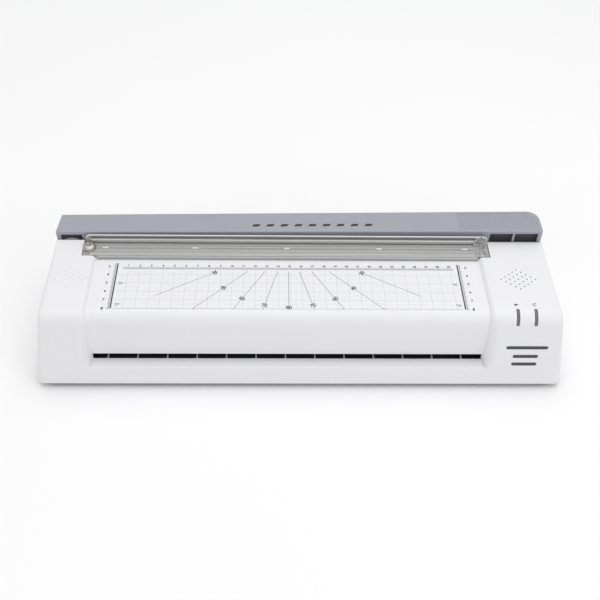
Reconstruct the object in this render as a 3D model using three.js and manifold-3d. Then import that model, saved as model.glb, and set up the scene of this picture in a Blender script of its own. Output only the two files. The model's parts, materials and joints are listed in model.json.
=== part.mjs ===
// Desktop pouch laminator with a paper trimmer along its back edge, in millimetres.
// +Z is up, +Y points to the back, +X to the right, and the origin is the middle of the base.
import * as THREE from "three";
import { mergeVertices } from "three/addons/utils/BufferGeometryUtils.js";
import Module from "manifold-3d";

const wasm = await Module();
wasm.setup();

// ---------------------------------------------------------------- driving dimensions
const GAP = 0.3; // clearance between pieces that touch on the real machine
const RIM_Z = 5.8; // bottom edge of the white cover
const BED_Z = 76; // printed cutting bed
const WING_Z = 79; // raised wings on both sides of the bed
const HALF_W = 217.5; // half width at the wing tops
const FLARE = 0.15; // sideways flare of the end walls, mm per mm down
const FRONT_Y = -60.6; // front edge at the wing tops, before rounding
const FRONT_FLARE = 0.161;
const REAR_Y = 61.4;
const REAR_FLARE = 0.15;
const FRONT_R = 12.4; // rounding of the front top edge
const SIDE_R = 3; // rounding of the side top edges
const PLAN_R = 6; // rounding of the vertical corners
const WALL = 2.4;

const BED_L = -180; // the bed's ends, which are also the exit slot's ends
const BED_R = 157;
const BED_FRONT_Y = -59; // upright face between the bed and the exit slot
const LEDGE_Z = 23.8; // level lip in front of the exit slot
const SLOT_TOP_Z = 30;
const POCKET_L = -192.6; // pocket that holds the paper guard
const POCKET_R = 167.7;
const POCKET_Y = 12;
const CUT_Y = 31; // the line that the trimmer cuts along
const STEP_Y = 32.1; // back face of the wings and the bed
const DECK_Z = 65; // low deck behind the bed, under the arm
const WELL_X = -188; // right end of the pivot well
const WELL_Z = 58.5;

const PIVOT_X = -204.6; // the arm turns about a line along Y
const PIVOT_Z = 74.5;
const ARM = { left: -218.2, right: 217.1, low: 67, top: 85.6, wall: 2.5 };
const ARM_FRONT = [35, 33.4]; // the arm is a little deeper at its right end than at its left
const ARM_BACK = [59.2, 61.2];
const ARM_REST_DEG = 0.77; // the arm rests this far above fully closed
const BLADE_L = -189.7;
const BLADE_R = 165.7;

const PATH_X = (BED_L + BED_R) / 2; // middle of the pouch path
const NIP_Z = 27.2;
const ROLLER_R = 10;
const ROLLER_Y = -28;
const ROLLER_DZ = ROLLER_R + GAP / 2; // roller axes above and below the nip
const SHAFT_R = 4;
const SHAFT_FIT = 0.15; // running clearance of the roller shafts
const PLATE_T = 1.5;
const PLATE_L = -185.5; // outer face of the left side plate
const PLATE_R = 161; // inner face of the right side plate
const GEAR_X = 168;
const GEAR_W = 6;
const RIB_PITCH = 25.6; // ribs of the pouch guides

const VENT = { r: 0.85, dx: 3.75, dy: 2.925, y: -15.7, xs: [-199, 187.2] }; // the left ones are blind
const LIGHT_XS = { ready_light_pipe: 180.1, power_light_pipe: 195.3 };
const POSTS = [[-213, -59], [214, -60], [-213, 57], [213, 57]]; // cover screws
const FEET = [[-192, -52], [192, -52], [-192, 52], [192, 52]];
const SWITCH = { x: 190, z: 46 };
const GLAND = { x: 206, z: 27 };
const LEVER = { x: -199, y: -3, z: 42.3 };

// ---------------------------------------------------------------- materials
const plastic = (color, roughness = 0.45) =>
  new THREE.MeshStandardMaterial({ color, roughness, metalness: 0 });
const metal = (color, roughness = 0.35) =>
  new THREE.MeshStandardMaterial({ color, roughness, metalness: 1 });

const WHITE = plastic("#efeff2");
const GREY = plastic("#a5a8b0");
const DARK_GREY = plastic("#8b8b90");
const BLACK = plastic("#17171a", 0.6);
const NYLON = plastic("#e3dfd0", 0.5);
const RUBBER = plastic("#b4452f", 0.8);
const FOOT_RUBBER = plastic("#2a2a2c", 0.9);
const BOARD = plastic("#1f6b3a", 0.5);
const LENS = plastic("#8f9096", 0.25);
const CLEAR = new THREE.MeshStandardMaterial({
  color: "#d9dada", roughness: 0.12, transparent: true, opacity: 0.35,
});
const STEEL = metal("#b9bcc0");
const BLADE_STEEL = metal("#cdd0d4", 0.2);
const ALUMINIUM = metal("#c4c7ca", 0.4);

// ---------------------------------------------------------------- solid helpers
function solid(geometry) {
  const bare = geometry.index ? geometry.toNonIndexed() : geometry.clone();
  bare.deleteAttribute("normal");
  bare.deleteAttribute("uv");
  const merged = mergeVertices(bare, 1e-4);
  return new wasm.Manifold(
    new wasm.Mesh({
      numProp: 3,
      vertProperties: new Float32Array(merged.attributes.position.array),
      triVerts: new Uint32Array(merged.index.array),
    }),
  );
}

function geometryOf(manifold) {
  const mesh = manifold.getMesh();
  const geometry = new THREE.BufferGeometry();
  const count = mesh.vertProperties.length / mesh.numProp;
  const positions = new Float32Array(count * 3);
  for (let i = 0; i < count; i++)
    for (let k = 0; k < 3; k++) positions[3 * i + k] = mesh.vertProperties[mesh.numProp * i + k];
  geometry.setAttribute("position", new THREE.BufferAttribute(positions, 3));
  geometry.setIndex(new THREE.BufferAttribute(new Uint32Array(mesh.triVerts), 1));
  const flat = geometry.toNonIndexed();
  flat.computeVertexNormals();
  return flat;
}

const joined = (first, ...rest) => rest.reduce((sum, piece) => sum.add(piece), first);
const cut = (first, ...tools) => tools.reduce((left, tool) => left.subtract(tool), first);

function box(x0, x1, y0, y1, z0, z1) {
  const geometry = new THREE.BoxGeometry(x1 - x0, y1 - y0, z1 - z0);
  return solid(geometry.translate((x0 + x1) / 2, (y0 + y1) / 2, (z0 + z1) / 2));
}

function shapeOf(points) {
  return new THREE.Shape(points.map(([a, b]) => new THREE.Vector2(a, b)));
}

const AXES = {
  x: [[0, 1, 0], [0, 0, 1], [1, 0, 0]], // outline in (y, z), pushed along +X
  y: [[0, 0, 1], [1, 0, 0], [0, 1, 0]], // outline in (z, x), pushed along +Y
  z: [[1, 0, 0], [0, 1, 0], [0, 0, 1]], // outline in (x, y), pushed along +Z
};

function pushed(axis, shape, from, to, curveSegments = 8) {
  const geometry = new THREE.ExtrudeGeometry(shape, {
    depth: to - from, bevelEnabled: false, curveSegments,
  });
  const [u, v, w] = AXES[axis].map((a) => new THREE.Vector3(...a));
  geometry.translate(0, 0, from);
  return solid(geometry.applyMatrix4(new THREE.Matrix4().makeBasis(u, v, w)));
}

const alongX = (points, x0, x1) => pushed("x", shapeOf(points), x0, x1);
const alongY = (points, y0, y1) => pushed("y", shapeOf(points.map(([x, z]) => [z, x])), y0, y1);
const alongZ = (points, z0, z1) => pushed("z", shapeOf(points), z0, z1);

// A turned piece: profile is [radius, distance along the axis], starting and ending on the axis
// or closing on itself. The axis runs through (a, b) in the plane across it.
function turned(axis, profile, [a, b], segments = 24) {
  const points = profile.map(([r, h]) => new THREE.Vector2(r, h));
  const geometry = new THREE.LatheGeometry(points, segments);
  if (axis === "x") geometry.rotateZ(-Math.PI / 2).translate(0, a, b);
  if (axis === "y") geometry.translate(a, 0, b);
  if (axis === "z") geometry.rotateX(Math.PI / 2).translate(a, b, 0);
  const made = solid(geometry);
  if (made.volume() >= 0) return made;
  return solid(new THREE.LatheGeometry(points.reverse(), segments).applyMatrix4(turnMatrix(axis, a, b)));
}

function turnMatrix(axis, a, b) {
  const place = new THREE.Matrix4();
  const turn = new THREE.Matrix4();
  if (axis === "x") return place.makeTranslation(0, a, b).multiply(turn.makeRotationZ(-Math.PI / 2));
  if (axis === "y") return place.makeTranslation(a, 0, b);
  return place.makeTranslation(a, b, 0).multiply(turn.makeRotationX(Math.PI / 2));
}

const rod = (axis, r, from, to, at, segments = 24) =>
  turned(axis, [[0, from], [r, from], [r, to], [0, to]], at, segments);

const tube = (axis, inner, outer, from, to, at, segments = 24) =>
  turned(axis, [[inner, from], [outer, from], [outer, to], [inner, to], [inner, from]], at, segments);

function roundedRect(x0, x1, y0, y1, radii, steps = 5) {
  // radii: front-left, front-right, back-right, back-left
  const corners = [[x0, y0, 1, 1], [x1, y0, -1, 1], [x1, y1, -1, -1], [x0, y1, 1, -1]];
  const points = [];
  corners.forEach(([x, y, sx, sy], corner) => {
    const r = radii[corner];
    for (let i = 0; i <= steps; i++) {
      const turn = Math.PI + ((corner + i / steps) * Math.PI) / 2;
      points.push([x + sx * r + r * Math.cos(turn), y + sy * r + r * Math.sin(turn)]);
    }
  });
  return points;
}

// A closed solid through rings of equally many points, with flat ends. across names the two
// coordinates that a ring is flat in.
function lofted(rings, across) {
  const flat = (ring) => ring.map((point) => new THREE.Vector2(point[across[0]], point[across[1]]));
  const turned = THREE.ShapeUtils.isClockWise(flat(rings[0]));
  const levels = turned ? rings.map((ring) => [...ring].reverse()) : rings;
  const count = rings[0].length;
  const positions = [];
  const face = (...corners) => corners.forEach((corner) => positions.push(...corner));
  for (let level = 0; level + 1 < levels.length; level++)
    for (let i = 0; i < count; i++) {
      const j = (i + 1) % count;
      const [low, high] = [levels[level], levels[level + 1]];
      face(low[i], low[j], high[j]);
      face(low[i], high[j], high[i]);
    }
  const first = levels[0];
  const last = levels[levels.length - 1];
  for (const [a, b, c] of THREE.ShapeUtils.triangulateShape(flat(first), []))
    face(first[c], first[b], first[a]);
  for (const [a, b, c] of THREE.ShapeUtils.triangulateShape(flat(last), []))
    face(last[a], last[b], last[c]);
  const geometry = new THREE.BufferGeometry();
  geometry.setAttribute("position", new THREE.Float32BufferAttribute(positions, 3));
  return solid(geometry);
}

const root = new THREE.Group();

function add(name, manifold, material, parent = root) {
  const mesh = new THREE.Mesh(geometryOf(manifold), material);
  mesh.name = name;
  parent.add(mesh);
  return mesh;
}

// ---------------------------------------------------------------- white cover
// Distance of a flared wall from the middle plane at height z, rounded at its top edge.
function wallAt(z, edge, flare, radius) {
  const lean = Math.atan(flare);
  const tangent = radius * Math.tan((Math.PI / 2 - lean) / 2);
  const centre = WING_Z - radius;
  if (z < centre + radius * Math.sin(lean)) return edge + flare * (WING_Z - z);
  return edge - tangent + Math.sqrt(Math.max(0, radius ** 2 - (z - centre) ** 2));
}

function coverRing(z, inset) {
  const at = Math.min(z + inset, WING_Z);
  const half = wallAt(at, HALF_W, FLARE, SIDE_R) - inset;
  const front = -wallAt(at, -FRONT_Y, FRONT_FLARE, FRONT_R) + inset;
  const back = wallAt(at, REAR_Y, REAR_FLARE, SIDE_R) - inset;
  const radius = Math.max(PLAN_R - inset, 1);
  const corners = [radius, radius, radius, radius];
  return roundedRect(-half, half, front, back, corners).map(([x, y]) => [x, y, z]);
}

function coverForm(inset, lowest) {
  const levels = [lowest, 30, WING_Z - FRONT_R - inset];
  for (let deg = 10; deg <= 90; deg += 10)
    levels.push(WING_Z - inset - FRONT_R * (1 - Math.sin(THREE.MathUtils.degToRad(deg))));
  return lofted(levels.map((z) => coverRing(z, inset)), [0, 1]);
}

// What the bed, its upright front and its ledge take out of the box form. The ends slope
// outwards, so that the wings blend into the bed.
const END_SLOPE = [
  // run outwards, outset of the front, rise of the bed, rise of the ledge
  [0, 0, 0, 0],
  [1.2, 0.4, 0.25, 0.3],
  [3, 2, 1.5, 1.4],
  [5, 4.2, 3.4, 3.4],
  [8, 7.6, 6, 6.4],
  [10.5, 11, 8.5, 9.5],
  [12, 14, 10, 13],
];

function bedCutter(grow) {
  const outline = ([, out, rise, lip]) => {
    const [top, front, ledge] = [BED_Z + rise - grow, BED_FRONT_Y - out + grow, LEDGE_Z + lip - grow];
    const radius = FRONT_R - grow;
    const points = [[90, 120], [90, top]];
    for (let deg = 0; deg <= 90; deg += 15) {
      const turn = THREE.MathUtils.degToRad(deg);
      points.push([
        front + radius - radius * Math.sin(turn),
        top - radius + radius * Math.cos(turn),
      ]);
    }
    points.push([front, ledge], [-110, ledge], [-110, 120]);
    return points;
  };
  const ring = (x, step) => outline(step).map(([y, z]) => [x, y, z]);
  const left = END_SLOPE.map((step) => ring(BED_L - grow - step[0], step)).reverse();
  const right = END_SLOPE.map((step) => ring(BED_R + grow + step[0], step));
  return lofted([...left, ...right], [1, 2]);
}

function topCutters(grow) {
  return [
    bedCutter(grow),
    box(POCKET_L - grow, POCKET_R + grow, POCKET_Y - grow, 120, BED_Z - grow, 120),
    box(-260, 260, STEP_Y - grow, 120, DECK_Z - grow, 120),
    box(-260, WELL_X + grow, STEP_Y - grow, 120, WELL_Z - grow, 120),
    box(BLADE_L - GAP - grow, BLADE_R + GAP + grow, CUT_Y - grow, 120, DECK_Z - grow, 120),
    box(BLADE_L - GAP - grow, BLADE_R + GAP + grow, 29.6 - grow, 120, 67.7 - grow, 120),
  ];
}

const GUARD_SCREW = [-187.1, 21.7];
const GUARD_SPRING = [162.6, 21.7];
const WELL_DEPTH = 6.3;
const LIGHT_CENTRE = [FRONT_Y + 10.57, WING_Z - FRONT_R];

function lightOutline(outer, inner, from, to, stem) {
  const points = [];
  const arc = (r, a, b) => {
    for (let i = 0; i <= 8; i++) {
      const turn = THREE.MathUtils.degToRad(a + ((b - a) * i) / 8);
      points.push([LIGHT_CENTRE[0] + r * Math.cos(turn), LIGHT_CENTRE[1] + r * Math.sin(turn)]);
    }
  };
  arc(outer, from, to);
  arc(inner, to, from + (stem ? 12 : 0));
  if (stem) points.push([-52.8, 53], [-50.4, 53]);
  return points;
}

function rearFrame(x, z) {
  const y = wallAt(z, REAR_Y, REAR_FLARE, SIDE_R);
  const place = new THREE.Group();
  place.position.set(x, y, z);
  place.rotation.x = Math.atan(REAR_FLARE);
  place.updateMatrix();
  return place;
}

const inFrame = (manifold, frame) => solid(geometryOf(manifold).applyMatrix4(frame.matrix));

function topCover() {
  const blank = cut(coverForm(0, RIM_Z), ...topCutters(0));
  const cavity = cut(coverForm(WALL, RIM_Z - 10), ...topCutters(WALL));
  const cups = [GUARD_SCREW, GUARD_SPRING].map((at) =>
    rod("z", 6, BED_Z - WELL_DEPTH - 2, BED_Z - 1, at));
  const posts = POSTS.map((at) => rod("z", 4, 8.3, 78, at, 12));
  const shell = joined(cut(blank, cavity), ...[...cups, ...posts].map((p) => p.intersect(blank)));
  const holes = [
    box(BED_L, BED_R, BED_FRONT_Y, -50, 20, SLOT_TOP_Z),
    box(BED_L, BED_R, BED_FRONT_Y - 1, -50, LEDGE_Z, SLOT_TOP_Z),
    box(BED_L, BED_R, 50, 90, 22.3, 33.7),
    ...[GUARD_SCREW, GUARD_SPRING].map((at) => rod("z", 4.4, BED_Z - WELL_DEPTH, 90, at, 20)),
    rod("z", 2.3, 60, 90, GUARD_SCREW, 16),
    ...POSTS.map((at) => rod("z", 1.8, 0, 17, at, 10)),
    ...Object.values(LIGHT_XS).map((x) =>
      alongX(lightOutline(FRONT_R + 3, FRONT_R - 5, 94, 166), x - 1.45, x + 1.45)),
    box(LEVER.x - 3.4, LEVER.x + 3.4, 50, 90, 28.5, 46.5),
  ];
  for (const x of VENT.xs)
    for (let i = -2; i <= 2; i++)
      for (let j = -2; j <= 2; j++)
        holes.push(rod("z", VENT.r, x < 0 ? WING_Z - 0.4 : 70, 85,
          [x + (i - j) * VENT.dx, VENT.y + (i + j) * VENT.dy], 6));
  const switchHole = inFrame(box(-8.3, 8.3, -20, 20, -11.4, 11.4), rearFrame(SWITCH.x, SWITCH.z));
  const glandHole = inFrame(rod("y", 5.3, -20, 20, [0, 0], 20), rearFrame(GLAND.x, GLAND.z));
  return cut(shell, ...holes, switchHole, glandHole);
}

add("top_cover", topCover(), WHITE);

for (const [name, x] of Object.entries(LIGHT_XS))
  add(name, alongX(lightOutline(FRONT_R + 0.2, FRONT_R - 3.2, 95, 165, true), x - 1.2, x + 1.2), LENS);

// ---------------------------------------------------------------- bottom tray and feet
const TRAY = { low: 3, floor: 5.5, half: 227.2, front: -71.2, back: 71.2, r: 12 };

function bottomTray() {
  const { low, floor, half, front, back, r } = TRAY;
  const radii = [r, r, r, r];
  const plan = (inset, z0, z1) =>
    alongZ(roundedRect(-half + inset, half - inset, front + inset, back - inset, radii), z0, z1);
  const lip = cut(plan(2.7, floor - 1, 9), plan(4.2, floor - 2, 10));
  const bosses = POSTS.map((at) => rod("z", 5.6, floor - 1, 8, at, 16));
  const boardPosts = [[182, -30], [205, -30]].map((at) => rod("z", 2.6, floor - 1, 42.7, at, 12));
  const body = joined(plan(0, low, floor), lip, ...bosses, ...boardPosts);
  const holes = [
    ...POSTS.map((at) => rod("z", 3.7, 0, 5.4, at, 16)),
    ...POSTS.map((at) => rod("z", 1.9, 0, 10, at, 12)),
    ...FEET.map((at) => rod("z", 3, 0, 10, at, 16)),
  ];
  for (let k = -4; k <= 4; k++) holes.push(box(PATH_X + k * 34 - 1.5, PATH_X + k * 34 + 1.5, -8, 34, 0, 7));
  return cut(body, ...holes);
}

add("bottom_tray", bottomTray(), DARK_GREY);

FEET.forEach((at, i) => {
  const profile = [[0, 0], [7.4, 0], [8, 0.6], [8, 2.7], [2.7, 2.7], [2.7, 5], [0, 5]];
  add(`foot_${i + 1}`, turned("z", profile, at, 16), FOOT_RUBBER);
});

POSTS.forEach((at, i) => {
  const profile = [[0, 3.3], [2.6, 3.3], [3.2, 3.9], [3.2, 5.1], [1.5, 5.1], [1.5, 15.4], [0, 16.5]];
  add(`cover_screw_${i + 1}`, turned("z", profile, at, 10), STEEL);
});

// ---------------------------------------------------------------- trimmer
const arm = new THREE.Group(); // turned up from fully closed about the pivot line
arm.position.set(PIVOT_X, 0, PIVOT_Z);
arm.rotation.y = -THREE.MathUtils.degToRad(ARM_REST_DEG);
root.add(arm);

const fromPivot = (manifold) =>
  solid(geometryOf(manifold).translate(-PIVOT_X, 0, -PIVOT_Z));
const BLADE_SCREW_XS = [-130, 110];
const BLADE_SCREW_Z = 76;

const armY = ([atLeft, atRight], x) =>
  atLeft + ((atRight - atLeft) * (x - ARM.left)) / (ARM.right - ARM.left);
const ARM_DEPTH = 26; // before it is fitted between its front and back
const ARM_SLANT = 1.9; // the left end's back corner lies this far to the right of its front corner
const RAIL_Y = 32.5; // front of the rail that carries the blade

function cutterArm() {
  const { left, right, low, top, wall } = ARM;
  const side = roundedRect(left, right, low, top, [8.4, 1.5, 1.5, 1.5]);
  const plan = (inset, z0, z1) => {
    const radii = [2, 2, 11, 2].map((r) => Math.max(r - inset, 0.3));
    const outline = roundedRect(left + inset, right - inset, inset, ARM_DEPTH - inset, radii);
    return alongZ(outline.map(([x, v]) => {
      const front = armY(ARM_FRONT, x);
      const slant = x < 0 ? (v / ARM_DEPTH) * ARM_SLANT : 0;
      return [x + slant, front + (v / ARM_DEPTH) * (armY(ARM_BACK, x) - front)];
    }), z0, z1);
  };
  const blank = alongY(side, 25, 70).intersect(plan(0, low - 5, top + 5));
  const hollow = cut(blank, plan(wall, low - 6, top - wall));
  const lug = box(left + 1, -190, 44.6, 47.6, low, top - 1);
  const web = box(168, right - 1, 37.6, 39.1, 65.6, top - 1);
  const ribs = [-150, -70, 10, 90].map((x) =>
    box(x + 4, x + 5.8, armY(ARM_FRONT, x) + 1, armY(ARM_BACK, x) - 1, top - 8, top - 1));
  const rail = box(BLADE_L, BLADE_R, RAIL_Y, 35.6, low, 79);
  const body = joined(hollow, rail, web, ...[lug, ...ribs].map((piece) => piece.intersect(blank)));
  const windowTop = top - 3.3;
  return cut(
    body,
    box(-213.7, -195.2, 32, 38.5, 71, windowTop),
    box(169.6, 190.4, 32, 37, 70.5, windowTop),
    box(192.2, 213.2, 32, 37, 70.5, windowTop),
    rod("y", 3.2, 43, 65, [PIVOT_X, PIVOT_Z]),
    ...BLADE_SCREW_XS.map((x) => rod("y", 1.7, 30, 39, [x, BLADE_SCREW_Z], 12)),
  );
}

add("cutter_arm", fromPivot(cutterArm()), GREY, arm);

function armBlade() {
  const outline = [[31.3, 66], [32.2, 67.6], [32.2, 80], [31.3, 80]];
  const holes = BLADE_SCREW_XS.map((x) => rod("y", 1.7, 30, 34, [x, BLADE_SCREW_Z], 12));
  return cut(alongX(outline, BLADE_L, BLADE_R), ...holes);
}

add("arm_blade", fromPivot(armBlade()), BLADE_STEEL, arm);

BLADE_SCREW_XS.forEach((x, i) => {
  const seat = armY(ARM_FRONT, x) + ARM.wall + GAP;
  const profile = [[0, 31.5], [1.4, 31.5], [1.4, seat], [2.7, seat], [2.4, seat + 1.6], [0, seat + 1.8]];
  const screw = turned("y", profile, [x, BLADE_SCREW_Z], 12);
  add(`blade_screw_${i + 1}`, fromPivot(screw), STEEL, arm);
});

add("pivot_pin", fromPivot(rod("y", 3, 41.3, 59, [PIVOT_X, PIVOT_Z])), STEEL, arm);

function pivotBracket() {
  const clear = rod("y", 10.2, 38, 44.3, [PIVOT_X, PIVOT_Z], 48);
  const arch = rod("y", 12.6, 38, 41, [PIVOT_X - 1, PIVOT_Z - 10.4], 48).intersect(clear);
  const boss = rod("y", 4.4, 40.5, 44.3, [PIVOT_X, PIVOT_Z], 32);
  const column = box(PIVOT_X + 0.5, PIVOT_X + 12.5, 38, 44.3, WELL_Z + GAP, PIVOT_Z - 3);
  const base = box(PIVOT_X + 0.5, PIVOT_X + 15.2, 35.2, 44.3, WELL_Z + GAP, WELL_Z + 3);
  return cut(joined(boss, arch, column, base), rod("y", 3.2, 41, 50, [PIVOT_X, PIVOT_Z]));
}

add("pivot_bracket", pivotBracket(), WHITE);
add("bed_knife", box(BLADE_L, BLADE_R, 29.9, 30.9, 68, 75.8), BLADE_STEEL);

// ---------------------------------------------------------------- clear paper guard
const GUARD = { low: 76.9, top: 78.6, left: -192, right: 167.1, tab: 12.6, front: 9.7, wall: 28.4 };

function clearGuard() {
  const { low, top, left, right, tab, front, wall } = GUARD;
  const ribbed = (from) => {
    const points = [[wall + 1.3, low], [wall + 1.3, top], [26.6, top]];
    for (const y of [24.5, 20.5, 16.5])
      points.push([y + 1.1, top], [y + 0.5, top + 0.5], [y - 0.5, top + 0.5], [y - 1.1, top]);
    points.push([from, top], [from, low]);
    return points;
  };
  const upright = alongY(roundedRect(left + 1.2, right - 0.3, low, 88, [1, 1, 8, 5], 6), wall, wall + 1.3);
  const body = joined(
    alongX(ribbed(tab), left, right),
    alongX([[tab + 1, low], [tab + 1, top], [front + 0.8, top], [front, top - 0.8], [front, low]],
      BED_L + 0.7, BED_R - 0.5),
    upright,
  );
  return cut(body, rod("z", 2.5, 70, 90, GUARD_SCREW, 20), rod("z", 6, top, 90, GUARD_SCREW, 24));
}

add("clear_guard", clearGuard(), CLEAR);

function guardScrew() {
  const profile = [
    [0, 67], [2, 67], [2, GUARD.top + GAP], [5.35, GUARD.top + GAP], [5.35, 79.7],
    [4.9, 81.2], [3.8, 82.4], [2, 83.1], [0, 83.3],
  ];
  const head = turned("z", profile, GUARD_SCREW, 20);
  const [x, y] = GUARD_SCREW;
  const cross = joined(box(x - 2.4, x + 2.4, y - 0.5, y + 0.5, 81.4, 90),
    box(x - 0.5, x + 0.5, y - 2.4, y + 2.4, 81.4, 90));
  return cut(head, cross);
}

add("guard_screw", guardScrew(), STEEL);

class Coil extends THREE.Curve {
  constructor(radius, from, to, turns) {
    super();
    Object.assign(this, { radius, from, to, turns });
  }
  getPoint(t) {
    const turn = t * this.turns * 2 * Math.PI;
    const rise = this.from + (this.to - this.from) * t;
    return new THREE.Vector3(this.radius * Math.cos(turn), this.radius * Math.sin(turn), rise);
  }
}

function coilSpring([x, y], radius, wire, z0, z1, turns) {
  const section = [[-wire, 0], [0, -wire], [wire, 0], [0, wire]];
  const geometry = new THREE.ExtrudeGeometry(shapeOf(section), {
    steps: turns * 9, extrudePath: new Coil(radius, z0 + wire, z1 - wire, turns),
  });
  return solid(geometry.translate(x, y, 0));
}

[GUARD_SCREW, GUARD_SPRING].forEach((at, i) =>
  add(`guard_spring_${i + 1}`, coilSpring(at, 3.4, 0.35, BED_Z - WELL_DEPTH + 0.2, 76.6, 4), STEEL));

// ---------------------------------------------------------------- side plates and stays
const LOWER_AXIS = [ROLLER_Y, NIP_Z - ROLLER_DZ];
const UPPER_AXIS = [ROLLER_Y, NIP_Z + ROLLER_DZ];
const STAYS = { front_stay: [-43, 12], rear_stay: [36, 48] };
const BAR = { y0: -16, y1: -12, z0: 44, z1: 47 };

function sidePlate(inner, outer, out) {
  const [x0, x1] = [Math.min(inner, outer), Math.max(inner, outer)];
  const flange = (y0, y1, z0, z1) => {
    const far = outer + out * 8.2;
    return box(Math.min(outer - out, far), Math.max(outer - out, far), y0, y1, z0, z1);
  };
  const body = joined(
    box(x0, x1, -46, 42, TRAY.floor + GAP, 55.8),
    flange(-33, -23, 54.3, 55.8),
    flange(-12, 40, TRAY.floor + GAP, TRAY.floor + GAP + PLATE_T),
  );
  return cut(
    body,
    rod("x", 6.3, x0 - 1, x1 + 1, LOWER_AXIS),
    box(x0 - 1, x1 + 1, -34.3, -21.7, 31, 45.6),
    box(x0 - 1, x1 + 1, BAR.y0 - 1, BAR.y1 + 1, 42.5, 50),
    ...Object.values(STAYS).map((at) => rod("x", 2.8, x0 - 1, x1 + 1, at, 16)),
  );
}

const leverHole = rod("x", 2.3, -190, -180, [LEVER.y, LEVER.z], 16);
add("left_side_plate", cut(sidePlate(PLATE_L + PLATE_T, PLATE_L, -1), leverHole), STEEL);
const axleHole = (r) => rod("x", r, 150, 190, IDLER_AXIS, 16);

// ---------------------------------------------------------------- gear train
const MODULE = 1;
const SPREAD = 0.3; // extra centre distance, so that the teeth run free
const TEETH = { roller: 20, idler: 24, pinion: 16 };

function offAxis([y, z], teethA, teethB, deg) {
  const distance = (MODULE * (teethA + teethB)) / 2 + SPREAD;
  const turn = THREE.MathUtils.degToRad(deg);
  return [y + distance * Math.cos(turn), z + distance * Math.sin(turn)];
}

// The lower roller's gear has a tooth at 90 degrees, so also at 18; the idler has one at 25.5.
const IDLER_AXIS = offAxis(LOWER_AXIS, TEETH.roller, TEETH.idler, 18);
const PINION_AXIS = offAxis(IDLER_AXIS, TEETH.idler, TEETH.pinion, 25.5);

function gear(teeth, toothDeg, bore, [y, z]) {
  const pitchR = (MODULE * teeth) / 2;
  const [rootR, tipR] = [pitchR - 1.2 * MODULE, pitchR + 0.82 * MODULE];
  const half = (r) => (0.21 * Math.PI * MODULE - (r - pitchR) * Math.tan(Math.PI / 9)) / r;
  const points = [];
  for (let k = 0; k < teeth; k++) {
    const mid = THREE.MathUtils.degToRad(toothDeg) + (k * 2 * Math.PI) / teeth;
    for (const [r, side] of [[rootR, -1], [tipR, -1], [tipR, 1], [rootR, 1]]) {
      const turn = mid + side * half(r);
      points.push([y + r * Math.cos(turn), z + r * Math.sin(turn)]);
    }
  }
  const blank = alongX(points, GEAR_X, GEAR_X + GEAR_W);
  return cut(blank, rod("x", bore, GEAR_X - 1, GEAR_X + GEAR_W + 1, [y, z]));
}

add("right_side_plate", cut(sidePlate(PLATE_R, PLATE_R + PLATE_T, 1), axleHole(2.3)), STEEL);
for (const [name, at] of Object.entries(STAYS))
  add(name, rod("x", 2.5, PLATE_L - 1.5, PLATE_R + PLATE_T + 1.5, at, 16), STEEL);

add("lower_roller_gear", gear(TEETH.roller, 90, SHAFT_R + 0.2, LOWER_AXIS), NYLON);
add("upper_roller_gear", gear(TEETH.roller, 270 + 180 / TEETH.roller, SHAFT_R + 0.2, UPPER_AXIS), NYLON);
add("idler_gear", gear(TEETH.idler, 18 + 180 + 180 / TEETH.idler, 2.2, IDLER_AXIS), NYLON);
add("motor_pinion", gear(TEETH.pinion, 25.5 + 180 + 180 / TEETH.pinion, 2.7, PINION_AXIS), NYLON);
add("idler_axle", rod("x", 2, PLATE_R + GAP, 177, IDLER_AXIS, 16), STEEL);

const GEAR_PLATE_X = 176;

function gearPlate() {
  const base = TRAY.floor + GAP;
  const plate = joined(
    box(GEAR_PLATE_X, GEAR_PLATE_X + PLATE_T, -12, 34, base, 56),
    box(GEAR_PLATE_X, GEAR_PLATE_X + 9, -4, 30, base, base + PLATE_T),
  );
  return cut(plate, rod("x", 2.3, 170, 180, IDLER_AXIS, 16), rod("x", 6.4, 170, 180, PINION_AXIS));
}

add("gear_plate", gearPlate(), STEEL);

function driveMotor() {
  const front = GEAR_PLATE_X + PLATE_T + GAP;
  return turned("x", [
    [0, GEAR_X], [2.5, GEAR_X], [2.5, front - 3], [6, front - 3], [6, front], [19.4, front],
    [20, front + 0.6], [20, front + 9], [18.5, front + 9.6], [18.5, front + 23],
    [17.5, front + 24], [5, front + 24], [4, front + 25.5], [0, front + 25.5],
  ], PINION_AXIS, 20);
}

add("drive_motor", driveMotor(), STEEL);

// ---------------------------------------------------------------- rollers
const SLEEVE = [-178, 155];

function rollerPair() {
  const shaftEnds = { lower: [-188.8, GEAR_X + GEAR_W], upper: [-191, GEAR_X + GEAR_W] };
  for (const [side, axis] of [["lower", LOWER_AXIS], ["upper", UPPER_AXIS]]) {
    const [x0, x1] = shaftEnds[side];
    add(`${side}_roller_shaft`, rod("x", SHAFT_R, x0, x1, axis), STEEL);
    const sleeve = tube("x", SHAFT_R + 0.2, ROLLER_R, ...SLEEVE, axis, 36);
    add(`${side}_roller_sleeve`, sleeve, RUBBER);
  }
}

rollerPair();

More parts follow.
